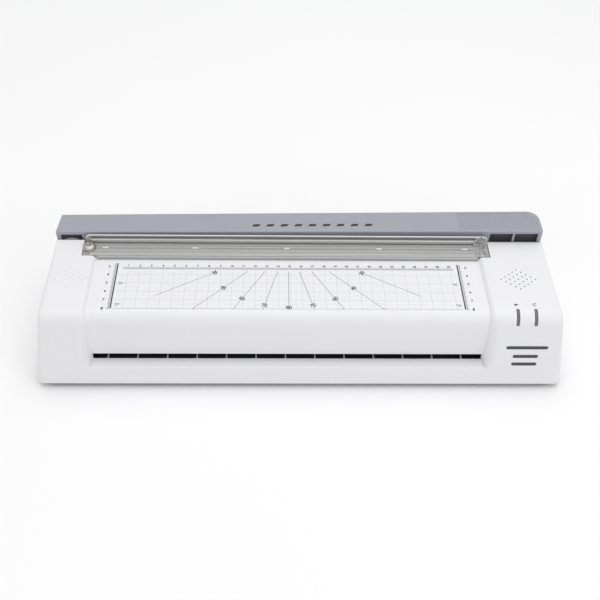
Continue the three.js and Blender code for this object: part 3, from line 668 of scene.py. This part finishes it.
def shrunk_open(outline):
    """Inward unit normals along an open outline that runs over the top from back to front."""
    normals = []
    count = len(outline)
    for i in range(count):
        j, k = i, i
        while j > 0 and math.dist(outline[j], outline[i]) < 0.01:
            j -= 1
        while k < count - 1 and math.dist(outline[k], outline[i]) < 0.01:
            k += 1
        along = Vector(outline[k]) - Vector(outline[j])
        if i == 0 or i == count - 1:
            normals.append((-1.0, 0.0) if i == 0 else (1.0, 0.0))
            continue
        along.normalize()
        normals.append((-along.y, along.x))
    return normals


def rear_frame(x, z):
    """Turns a shape made at the origin to lie on the sloping back face."""
    lean = math.atan(REAR_FLARE)
    return Matrix.Translation(Vector((x, rear_at(z), z)) * MM) @ Matrix.Rotation(lean, 4, "X")


def moved(made, matrix):
    made.data.transform(matrix)
    return made


def light_outline(outer, inner, first, last):
    """A band around the cover's front edge, between two radii and two angles in degrees."""
    points = []
    for radius, a, b in ((outer, first, last), (inner, last, first)):
        for k in range(17):
            turn = math.radians(a + (b - a) * k / 16)
            y, z = LIGHT_CENTRE
            points.append((y + radius * math.cos(turn), z + radius * math.sin(turn)))
    return points


def make_cover():
    shell = cover_form("cover", 0.0)
    hollow = cover_form("cover_hollow", WALL)
    tools = [hollow]
    tools.append(pushed("slot", "x", [(-59.0, 20), (-50, 20), (-50, SLOT_TOP_Z), (-59.6, SLOT_TOP_Z),
                                      (-59.6, LEDGE_Z), (-59.0, LEDGE_Z)], BED_X0, BED_X1))
    tools.append(pushed("feed", "y", rounded(box_corners(BED_X0, BED_X1, 22.3, 33.7, 1.0), 3), 50, 90))
    tools.append(pushed("lever_slot", "y", rounded(box_corners(-202.4, -195.6, 28.5, 46.5, 1.5), 4), 50, 90))
    wells = [rod("well", "z", 4.4, 68, 90, at, 32) for at in (GUARD_SCREW, GUARD_SPRING)]
    tools.append(joined("wells", wells))
    outline = light_outline(FRONT_R + 3, FRONT_R - 5, 94, 166)
    lights = [pushed("window", "x", outline, x - 1.45, x + 1.45, edge=1.0) for x in LIGHT_XS.values()]
    tools.append(joined("windows", lights))
    vents = []
    for x in (-199, 187.2):
        for i in range(-2, 3):
            for j in range(-2, 3):
                at = (x + (i - j) * 3.75, -15.7 + (i + j) * 2.925)
                vents.append(rod("vent", "z", 0.8, WING_Z - 0.4 if x < 0 else 70, 85, at, 12))
    tools.append(joined("vents", vents))
    switch = pushed("switch_hole", "y", rounded(box_corners(-8.3, 8.3, -11.4, 11.4, 0.6), 3), -20, 20)
    tools.append(moved(switch, rear_frame(190, 46)))
    gland = rod("gland_hole", "y", 5.3, -20, 20, (0, 0), 32)
    tools.append(moved(gland, rear_frame(206, 27)))
    combine(shell, tools)
    smooth(shell, 30)
    finish_piece(shell, "white_shell", "base", ["top_cover"])


# ---------------------------------------------------------------- trimmer arm
def arm_turned(made):
    """From the fully closed position to the rest position."""
    to = Matrix.Translation(PIVOT * MM) @ Matrix.Rotation(-ARM_REST, 4, "Y") @ Matrix.Translation(-PIVOT * MM)
    return moved(made, to)


def arm_y(ends, x):
    return ends[0] + (ends[1] - ends[0]) * (x - ARM["left"]) / (ARM["right"] - ARM["left"])


def arm_plan(inset, radii, steps):
    """The arm from above, a little deeper at its right end than at its left."""
    a = ARM
    corners = box_corners(a["left"] + inset, a["right"] - inset, inset, ARM_DEPTH - inset, radii)
    fitted = []
    for x, v in rounded(corners, steps):
        front = arm_y(ARM_FRONT, x)
        slant = v / ARM_DEPTH * ARM_SLANT if x < 0 else 0
        fitted.append((x + slant, front + v / ARM_DEPTH * (arm_y(ARM_BACK, x) - front)))
    return fitted


def make_arm():
    a = ARM
    levels = [(a["low"], 0.3), (a["low"] + 0.3, 0.0)]
    top_r = 1.3
    for k in range(7):
        turn = math.pi / 2 * k / 6
        levels.append((a["top"] - 0.04 - top_r * (1 - math.sin(turn)), top_r * (1 - math.cos(turn))))
    plan = arm_plan(0, [1.6, 1.6, 11, 1.6], 10)
    arm = loft("arm", [[(x, y, z) for x, y in shrunk(plan, inset)] for z, inset in levels])
    w = a["wall"]
    hollow = pushed("arm_hollow", "z", arm_plan(w, [0.6, 0.6, 8.5, 0.6], 8), a["low"] - 4, a["top"] - w)
    end = box_corners(a["left"] - 0.01, a["right"] + 2, a["low"] - 0.01, a["top"] + 2, [8.4, 0, 0, 0])
    keep = pushed("arm_end", "y", rounded(end, 16), 20, 70)
    combine(arm, [keep], "INTERSECT")
    thin_strips = []
    x = 143.0
    while x < 214:
        section = rounded([(x - 0.62, a["top"] + 1, 0), (x - 0.62, a["top"] - 0.43, 0.15),
                           (x + 0.62, a["top"] - 0.43, 0.15), (x + 0.62, a["top"] + 1, 0)], 3)
        back = arm_y(ARM_BACK, x) - 2.6 - max(0.0, x - 206) * 1.0
        thin_strips.append(pushed("thin_strip", "y", section, arm_y(ARM_FRONT, x) + 1.77, back))
        x += 2.5
    combine(arm, [joined("thin_strips", thin_strips)])
    combine(arm, [hollow])
    lug = rounded(box_corners(a["left"] + 1, -190, a["low"] + 1, a["top"] - 1, [8, 2, 0.2, 0.2]), 8)
    parts = [pushed("lug", "y", lug, 44.6, 47.6)]
    parts.append(pushed("web", "y", box_points(168, a["right"] - 1, 65.6, a["top"] - 1), 37.6, 39.1))
    for x in (-150, -70, 10, 90):
        section = box_points(arm_y(ARM_FRONT, x) + 1, arm_y(ARM_BACK, x) - 1, a["top"] - 8, a["top"] - 1)
        parts.append(pushed("rib", "x", section, x + 4, x + 5.8))
    rail = rounded([(32.5, a["low"], 0.4), (35.6, a["low"], 0), (35.6, 79, 0), (32.5, 79, 0.5)], 3)
    parts.append(pushed("rail", "x", rail, BLADE_X0, BLADE_X1, edge=0.2))
    combine(arm, [joined("ribs", parts)], "UNION")
    top = a["top"] - 3.3
    windows = []
    for x0, x1, low in ((-213.7, -195.2, 71), (169.6, 190.4, 70.5), (192.2, 213.2, 70.5)):
        outline = rounded(box_corners(x0, x1, low, top, 0.7), 4)
        windows.append(pushed("window", "y", outline, 30, 38.5 if x0 < 0 else 37))
    combine(arm, [joined("windows", windows)])
    arm_turned(arm)
    smooth(arm, 30)
    finish_piece(arm, "grey_plastic", "cutter_arm", ["cutter_arm"])


def make_arm_liner():
    """Painted shade: dark plates behind the openings, for the shade inside the hollow arm: a plate at the
    grip end, and a crescent over the pivot's arch.
    """
    outline = rounded(box_corners(168.3, ARM["right"] - 2.8, 65.8, ARM["top"] - 2.6, 0.5), 3)
    parts = [pushed("arm_painted_shade", "y", outline, 37.0, 37.5, edge=0.15)]
    centre = (PIVOT.x - 1, PIVOT.z - 10.4)
    turns = [math.radians(142 - 104 * k / 16) for k in range(17)]
    crescent = [(centre[0] + 12.9 * math.cos(t), centre[1] + 12.9 * math.sin(t)) for t in turns]
    crescent += [(-195.2, ARM["top"] - 2.7), (-214.6, ARM["top"] - 2.7)]
    parts.append(pushed("crescent", "y", crescent, 37.0, 37.5))
    liner = arm_turned(joined("arm_painted_shades", parts))
    finish_piece(smooth(liner, 40), "tray_plastic", "cutter_arm", finish=MATERIALS["arm_painted_shade"])


def make_arm_mark():
    """A row of slanted bars printed on the arm."""
    bars = []
    for k in range(9):
        x = -44 + 12.6 * k
        outline = [(x, 41.2), (x + 6.2, 41.2), (x + 8.0, 44.2), (x + 1.8, 44.2)]
        bars.append(pushed("bar", "z", outline, ARM["top"] - 0.02, ARM["top"] + 0.05))
    mark = arm_turned(joined("printed_arm_mark", bars))
    finish_piece(mark, "grey_plastic", "cutter_arm", finish=ink("ink_arm", (0.03, 0.03, 0.035)))


# ---------------------------------------------------------------- clear guard
def swept(name, path, radius):
    """A rod along a path that lies in a plane of constant y."""
    rings = []
    for i, point in enumerate(path):
        before, after = Vector(path[max(i - 1, 0)]), Vector(path[min(i + 1, len(path) - 1)])
        along = (after - before).normalized()
        out = along.cross(Vector((0, 1, 0)))
        rings.append([tuple(Vector(point) + out * radius * math.cos(t) + Vector((0, radius * math.sin(t), 0)))
                      for t in (2 * math.pi * k / ROD_STEPS for k in range(ROD_STEPS))])
    return loft(name, rings)


def make_guard():
    g = GUARD
    low, top, wall = g["low"], g["top"], g["wall"]
    corners = [(g["tab"], low, 0.35), (wall + 1, low, 0.35), (wall + 1, top + 0.2, 0.35),
               (wall - 1.2, top, 0.8)]
    for y in (24.5, 20.5, 16.5):
        crest = top + 0.5
        corners += [(y + 1.1, top, 0.4), (y + 0.4, crest, 0.4), (y - 0.4, crest, 0.4), (y - 1.1, top, 0.4)]
    corners.append((g["tab"], top, 0.6))
    guard = pushed("guard", "x", rounded(corners, 4), g["left"], g["right"], edge=0.3)
    front = g["front"]
    lip = rounded([(front, low, 0.2), (14.3, low + 0.02, 0), (14.3, top - 0.02, 0), (12.5, top - 0.02, 0.1),
                   (12.1, top - 0.4, 0.1), (11.6, top - 0.4, 0.1), (11.2, top - 0.02, 0.1),
                   (front, top - 0.02, 0.7)], 4)
    plate = pushed("plate", "x", lip, BED_X0 + 0.7, BED_X1 - 0.5, edge=0.08)
    corners = box_corners(g["left"] + 1.23, g["right"] - 0.47, low, g["high"] - 0.3, [1, 1, 5, 8])
    upright = pushed("upright", "y", rounded(corners, 12), wall, wall + 1.3, edge=0.3)
    combine(guard, [plate, upright], "UNION")
    x, y = GUARD_SCREW
    combine(guard, [rod("hole", "z", 2.5, 70, 90, (x, y), 32), rod("seat", "z", 6, top, 84, (x, y), 40)])
    smooth(guard, 38)
    finish_piece(guard, "clear_plastic", "paper_guard", ["clear_guard"])

    # Painted highlight: the beads and marks below get a near-white finish that stands in for the light on the
    # clear shield's rounded edges.
    y = wall + 0.62
    x0, x1, crest = g["left"] + 1.8, g["right"] - 0.9, g["high"] - 0.62
    corners = [(x0, top + 0.4, 0), (x0, crest, 7.5), (x1, crest, 4.5), (x1, top + 0.4, 0)]
    edge = rounded(corners, 12, closed=False)
    beads = [swept("edge", [(a, y, b) for a, b in edge], 0.62)]
    x0, x1 = g["left"] + 6, g["right"] - 12
    turns = [math.pi * k / 6 for k in range(12)]
    ridge = [(wall + 0.3 + 0.8 * math.cos(t), 82.6 + 0.8 * math.sin(t)) for t in turns]
    beads.append(pushed("ridge", "x", ridge, x0, x1, 0.2))
    for x in (-173, -94, -12.8, 69.4, 146):
        outline = rounded(box_corners(x - 2.6, x + 2.6, 21.6, 23.1, 0.4), 3)
        beads.append(pushed("mark", "z", outline, top - 0.1, top + 0.3, edge=0.1))
    # Painted highlight: pale strips on the plate and on the upright wall stand in for the bright lines that
    # the clear guard catches.
    lines = []
    for y, wide in ((26.2, 0.9), (23.5, 0.9), (18.3, 0.9), (15.1, 1.5), (13.1, 0.9), (10.6, 0.8)):
        ends = (x0, x1) if y > 12.6 else (BED_X0 + 2, BED_X1 - 2)
        corners = box_corners(y - wide / 2, y + wide / 2, top - 0.3, top + 0.08, [0, 0, 0.06, 0.06])
        lines.append(pushed("line", "x", rounded(corners, 2), *ends, edge=0.05))
    outline = rounded(box_corners(wall - 0.06, wall + 0.5, 79.9, 81.7, 0.05), 2)
    lines.append(pushed("line", "x", outline, x0, x1, edge=0.05))
    lines = joined("guard_highlight_lines", lines)
    finish_piece(smooth(lines, 30), "clear_plastic", "paper_guard", finish=MATERIALS["line_painted_highlight"])
    # Painted shade: dark strips on the upright wall stand in for the shade between the beads.
    thin_strips = []
    for low_z, high_z in ((84.5, 86.4), (78.75, 79.6)):
        outline = rounded(box_corners(wall - 0.06, wall + 0.5, low_z, high_z, 0.05), 2)
        thin_strips.append(pushed("thin_strip", "x", outline, x0, x1, edge=0.05))
    thin_strips = joined("guard_painted_shade_strips", thin_strips)
    finish_piece(smooth(thin_strips, 30), "clear_plastic", "paper_guard", finish=MATERIALS["guard_painted_shade"])
    highlight_finish = MATERIALS["bead_painted_highlight"]
    finish_piece(smooth(joined("guard_beads", beads), 40), "clear_plastic", "paper_guard", finish=highlight_finish)
    finish_piece(make_pad(), "clear_plastic", "paper_guard", finish=MATERIALS["hatched_pad"])


def make_pad():
    """The press pad on the guard's right end: it curves up from the plate onto the upright wall,
    ends in a round top, and is covered with small pyramids."""
    x0, x1 = GUARD["right"] - 12.6, GUARD["right"] - 0.9
    top, wall, high = GUARD["top"] - 0.1, GUARD["wall"], GUARD["high"] + 0.2
    bend = 4.5
    flat = wall - bend - 13.4
    arc = bend * math.pi / 2
    rise = high - top - bend
    reach = flat + arc + rise

    def place(u, run):
        """A point on the pad's middle surface and its outward normal; u is -1 to 1 across."""
        half = (x1 - x0) / 2
        if run > reach - half:
            half *= math.sqrt(max(0.0, 1 - ((run - reach + half) / half) ** 2)) if run < reach else 0.02
            half = max(half, 0.3)
        x = (x0 + x1) / 2 + u * half
        if run < flat:
            return Vector((x, 13.4 + run, top)), Vector((0, 0, 1))
        if run < flat + arc:
            turn = (run - flat) / bend
            y, z = 13.4 + flat + bend * math.sin(turn), top + bend * (1 - math.cos(turn))
            return Vector((x, y, z)), Vector((0, -math.sin(turn), math.cos(turn)))
        return Vector((x, wall, top + bend + run - flat - arc)), Vector((0, -1, 0))

    nx = 14
    ny = 2 * round(reach / ((x1 - x0) / nx) / 2)
    verts, faces = [], []
    for side in (1, 0):
        for j in range(ny + 1):
            for i in range(nx + 1):
                at, out = place(i / nx * 2 - 1, reach * j / ny)
                edge = i in (0, nx) or j in (0, ny)
                height = 0.35 if edge else 0.45 + 0.85 * ((i + j) % 2)
                verts.append(tuple(at + out * (height * side)))
    count, row = (nx + 1) * (ny + 1), nx + 1
    for j in range(ny):
        for i in range(nx):
            a = j * row + i
            faces.append((a, a + 1, a + row + 1, a + row))
            faces.append((count + a, count + a + row, count + a + row + 1, count + a + 1))
    rim = [(i, i + 1) for i in range(nx)] + [(ny * row + i + 1, ny * row + i) for i in range(nx)]
    rim += [((j + 1) * row, j * row) for j in range(ny)]
    rim += [(j * row + nx, (j + 1) * row + nx) for j in range(ny)]
    faces += [(a, count + a, count + b, b) for a, b in rim]
    pad = new_object("guard_pad", verts, faces)
    triangulate(pad)
    return pad


def triangulate(made):
    bm = bmesh.new()
    bm.from_mesh(made.data)
    bmesh.ops.triangulate(bm, faces=bm.faces[:])
    bm.to_mesh(made.data)
    bm.free()


def make_guard_screw():
    """A pan head screw with a cross recess, on its flat washer face."""
    x, y = GUARD_SCREW
    profile = [(0, 67), (1.7, 67), (2, 67.4), (2, 78.9), (5.5, 78.9), (5.75, 79.15), (5.75, 79.8),
               (5.6, 80.1)]
    for k in range(1, 10):
        turn = math.pi / 2 * k / 10
        profile.append((2.4 + 3.2 * math.cos(turn), 80.1 + 2.6 * math.sin(turn)))
    profile += [(2.2, 82.72), (1.2, 82.8), (0, 82.82)]
    head = turned("guard_screw_head", profile, (x, y))
    cross = []
    for turn in (0.35, 0.35 + math.pi / 2):
        rings = []
        for z, long, wide in ((80.2, 1.1, 0.5), (82, 2.6, 0.75), (84, 3.6, 0.95)):
            rings.append([(x + a * long * math.cos(turn) - b * wide * math.sin(turn),
                           y + a * long * math.sin(turn) + b * wide * math.cos(turn), z)
                          for a, b in ((-1, -1), (1, -1), (1, 1), (-1, 1))])
        cross.append(loft("cross", rings))
    combine(head, cross)
    bevel(head, 0.08, 40, 2)
    smooth(head, 40)
    override_finish = ground_metal("worn_steel", (0.56, 0.53, 0.48), 0.42, (1, 1, 1), 260)
    finish_piece(head, "plated_steel", "base", ["guard_screw"], override_finish)


# ---------------------------------------------------------------- printed scale
def make_print():
    """Ruler, grid, side marks and protractor lines, as thin raised ink."""
    inks = {"ink_dark": [], "ink_grey": [], "ink_band": [], "ink_pale": [], "ink_faint": []}
    height = {"ink_dark": 0.07, "ink_grey": 0.055, "ink_band": 0.045, "ink_pale": 0.04, "ink_faint": 0.03}

    def strip(tone, x0, y0, x1, y1, width):
        along = Vector((x1 - x0, y1 - y0))
        across = Vector((-along.y, along.x)).normalized() * width / 2
        corners = [(x0 + across.x, y0 + across.y), (x0 - across.x, y0 - across.y),
                   (x1 - across.x, y1 - across.y), (x1 + across.x, y1 + across.y)]
        inks[tone].append([(x, y) for x, y in corners])

    left, right = RULER_X0, RULER_X1
    back, front = CUT_Y - PRINT_NEAR, CUT_Y - PRINT_FAR
    for x, side in ((left, -1), (right, 1)):
        strip("ink_dark", x, back, x, front, 1.1)
        strip("ink_pale", x + side * 1.5, back, x + side * 1.5, front, 1.3)
        for k in range(PRINT_NEAR, PRINT_FAR + 1):
            length = 2.6 if k % 5 == 0 else 1.6
            strip("ink_grey", x + side * 0.9, CUT_Y - k, x + side * (0.9 + length), CUT_Y - k, 0.3)
        for y in (CUT_Y - 50, CUT_Y - 75):
            strip("ink_grey", x - side * 3, y, x - side * 7.4, y, 0.9)
            strip("ink_grey", x - side * 3, y - 1.5, x - side * 5.8, y - 1.5, 0.5)
    ruler = CUT_Y - 32.9
    strip("ink_band", left + 5, ruler + 1.3, right - 4, ruler + 1.3, 2.6)
    strip("ink_grey", left + 5, ruler, right - 4, ruler, 0.25)
    for k in range(5, 294):
        length = 2.6 if k % 10 == 0 else 2.0 if k % 5 == 0 else 1.3
        strip("ink_grey", left + k, ruler, left + k, ruler + length, 0.2)
    for k in range(1, 59):
        tone, width = ("ink_pale", 0.32) if k % 2 == 0 else ("ink_faint", 0.3)
        strip(tone, left + 5 * k, CUT_Y - 36, left + 5 * k, front, width)
    for k in range(40, 85, 5):
        tone, width = ("ink_pale", 0.32) if k % 10 == 0 else ("ink_faint", 0.3)
        strip(tone, left + 2, CUT_Y - k, right - 2, CUT_Y - k, width)
    for degrees in range(30, 151, 15):
        turn = math.radians(degrees)
        start = 35.4 / math.sin(turn)
        end = min(80.5 / math.sin(turn), 129.8)
        strip("ink_grey", BED_MID + start * math.cos(turn), CUT_Y - start * math.sin(turn),
              BED_MID + end * math.cos(turn), CUT_Y - end * math.sin(turn), 0.4)
    colours = {"ink_dark": (0.03, 0.03, 0.035), "ink_grey": (0.22, 0.22, 0.24), "ink_band": (0.6, 0.61, 0.64),
               "ink_pale": (0.6, 0.61, 0.64), "ink_faint": (0.76, 0.765, 0.79)}
    for tone, outlines in inks.items():
        verts, faces = [], []
        top = BED_Z + height[tone]
        for corners in outlines:
            first = len(verts)
            verts += [(x, y, BED_Z + 0.005) for x, y in corners] + [(x, y, top) for x, y in corners]
            faces += [tuple(first + i for i in face) for face in
                      ((3, 2, 1, 0), (4, 5, 6, 7), (0, 1, 5, 4), (1, 2, 6, 5), (2, 3, 7, 6), (3, 0, 4, 7))]
        made = placed("printed_" + tone, new_mesh(tone, verts, faces))
        finish_piece(made, "white_shell", "base", finish=ink(tone, colours[tone]))


def digits(name, text, x, y, size, turn):
    """A number printed flat on the bed, centred on (x, y)."""
    curve = bpy.data.curves.new(name, "FONT")
    curve.body = text
    curve.size = size * MM
    curve.extrude = 0.00003
    curve.align_x = "CENTER"
    curve.align_y = "CENTER"
    curve.resolution_u = 3
    curve.offset = 0.00012
    made = placed(name, curve)
    mesh = bpy.data.meshes.new_from_object(made)
    bpy.data.objects.remove(made)
    mesh.transform(Matrix.Translation(Vector((x, y, BED_Z + 0.04)) * MM) @ Matrix.Rotation(turn, 4, "Z"))
    return mesh


def make_numbers():
    dark, bm = ink("ink_numbers", (0.09, 0.09, 0.1)), bmesh.new()
    rows = []
    for k in range(1, 30):
        rows.append((str(k), RULER_X0 + 10 * k - 0.6, CUT_Y - 28.8, 2.9, 0.0))
    for k in range(3, 9):
        rows.append((str(k), RULER_X0 - 6.9, CUT_Y - 10 * k, 3.6, 0.0))
        rows.append((str(k), RULER_X1 + 6.9, CUT_Y - 10 * k, 3.6, 0.0))
    for degrees in range(30, 151, 15):
        turn = math.radians(degrees)
        reach = 78.8 if degrees not in (30, 150) else 74
        x, y = BED_MID + reach * math.cos(turn), CUT_Y - reach * math.sin(turn)
        rows.append((str(min(degrees, 180 - degrees)), x, y, 5.2, math.pi / 2 - turn))
    for i, (text, x, y, size, turn) in enumerate(rows):
        mesh = digits(f"number_{i}", text, x, y, size, turn)
        bm.from_mesh(mesh)
        bpy.data.meshes.remove(mesh)
    mesh = bpy.data.meshes.new("numbers")
    bm.to_mesh(mesh)
    bm.free()
    finish_piece(placed("printed_numbers", mesh), "white_shell", "base", finish=dark)


def make_cover_marks():
    """Plain printed shapes: three bars on the right wing's front, and a sign over each indicator."""
    def on_front(outline):
        verts = [(x, front_at(z) + depth, z) for depth in (-0.05, 0.3) for x, z in outline]
        n = len(outline)
        sides = [(i, n + i, n + (i + 1) % n, (i + 1) % n) for i in range(n)]
        return new_object("bar", verts, [tuple(range(n)), tuple(range(n, 2 * n))[::-1], *sides])

    parts = [on_front(rounded(box_corners(x0, x1, z - 1.7, z + 1.7, 1.6), 5))
             for x0, x1, z in ((174, 210, 46.5), (181, 203, 37), (181, 203, 28.5))]
    x = LIGHT_XS["ready_lens"]
    arrow = [(x - 1.9, -47.6), (x + 1.9, -46.2), (x - 1.9, -44.8)]
    parts.append(pushed("sign", "z", arrow, WING_Z - 0.05, WING_Z + 0.04))
    x = LIGHT_XS["power_lens"]
    turns = [0.7 + 4.9 * k / 14 for k in range(15)]
    ring = [(x + r * math.cos(t), -46.2 + r * math.sin(t)) for r, ts in ((1.7, turns), (1.0, turns[::-1]))
            for t in ts]
    parts.append(pushed("sign", "z", ring, WING_Z - 0.05, WING_Z + 0.04))
    marks = joined("printed_cover_marks", parts)
    finish_piece(marks, "white_shell", "base", finish=ink("ink_cover", (0.05, 0.05, 0.055)))


def make_exit_ribs():
    """Grey tops of the ribs that a pouch slides over: a painted highlight, where the ribs in the dark slot
    catch light.
    """
    tops = []
    x = -167.4
    while x < BED_X1 - 2:
        section = rounded(box_corners(-58.8, -40.5, 22.3, 23.68, [0.1, 0.1, 0.4, 0.4]), 3)
        tops.append(pushed("rib", "x", section, x - 0.62, x + 0.62))
        x += 25.6
    ribs = smooth(joined("exit_rib_tops", tops), 30)
    # painted highlight: mid grey rib tops for the light on the ribs in the dark slot
    override_finish = moulded("rib_top_painted_highlight", (0.5, 0.5, 0.51), 0.35)
    finish_piece(ribs, "black_plastic", "base", finish=override_finish)


# ---------------------------------------------------------------- indicator lenses
def make_lenses():
    nodes = {"ready_lens": "ready_light_pipe", "power_lens": "power_light_pipe"}
    for name, x in LIGHT_XS.items():
        outline = light_outline(FRONT_R + 0.15, FRONT_R - 3.2, 95, 165)
        lens = pushed(name, "x", outline, x - 1.3, x + 1.3, edge=0.9)
        stem = pushed("stem", "x", box_points(-52.8, -50.4, 53, 76), x - 1.0, x + 1.0)
        combine(lens, [stem], "UNION")
        smooth(lens, 40)
        finish_piece(lens, "light_pipe", "base", [nodes[name]])


# ---------------------------------------------------------------- pieces kept from the CAD model
BEVELS = {
    "bottom_tray": 0.6, "arm_blade": 0.12, "bed_knife": 0.12, "pivot_bracket": 0.5, "switch_body": 0.35,
    "power_rocker": 0.35, "release_lever": 0.4, "cord_gland": 0.25, "lift_bar": 0.3, "control_board": 0.2,
}


def refine(name, width):
    """A CAD node's shape with its flats made whole, its edges rounded and its curves shaded smooth."""
    source = frame["nodes"][name]
    made = placed(name + "_body", source.data.copy())
    bm = bmesh.new()
    bm.from_mesh(made.data)
    bmesh.ops.remove_doubles(bm, verts=bm.verts, dist=2e-6)
    bmesh.ops.dissolve_limit(bm, angle_limit=math.radians(0.8), verts=bm.verts, edges=bm.edges)
    bm.to_mesh(made.data)
    bm.free()
    bevel(made, width, 38, 2)
    smooth(made, 38)
    finish_piece(made, SLOT_OF[name], BODY_OF[name], [name])


def make_floor():
    corners = [(-9000, -9000, 0), (9000, -9000, 0), (9000, 9000, 0), (-9000, 9000, 0)]
    floor = new_object("floor", corners, [(0, 1, 2, 3)])
    made = material("floor", Base_Color=(0.95, 0.95, 0.95), Roughness=0.85)
    tone = ramp(made, noise(made, 3, 2), [(0.3, (0.945, 0.945, 0.95)), (0.7, (0.955, 0.955, 0.96))])
    link(made, tone, shader_of(made).inputs["Base Color"])
    floor.data.materials.append(made)


place_camera()
light_studio()
make_floor()
make_cover()
make_arm()
make_arm_liner()
make_arm_mark()
make_guard()
make_guard_screw()
make_print()
make_numbers()
make_cover_marks()
make_exit_ribs()
make_lenses()
for kept, object_ in frame["nodes"].items():
    if not object_.hide_render:
        refine(kept, BEVELS.get(kept, 0.15))
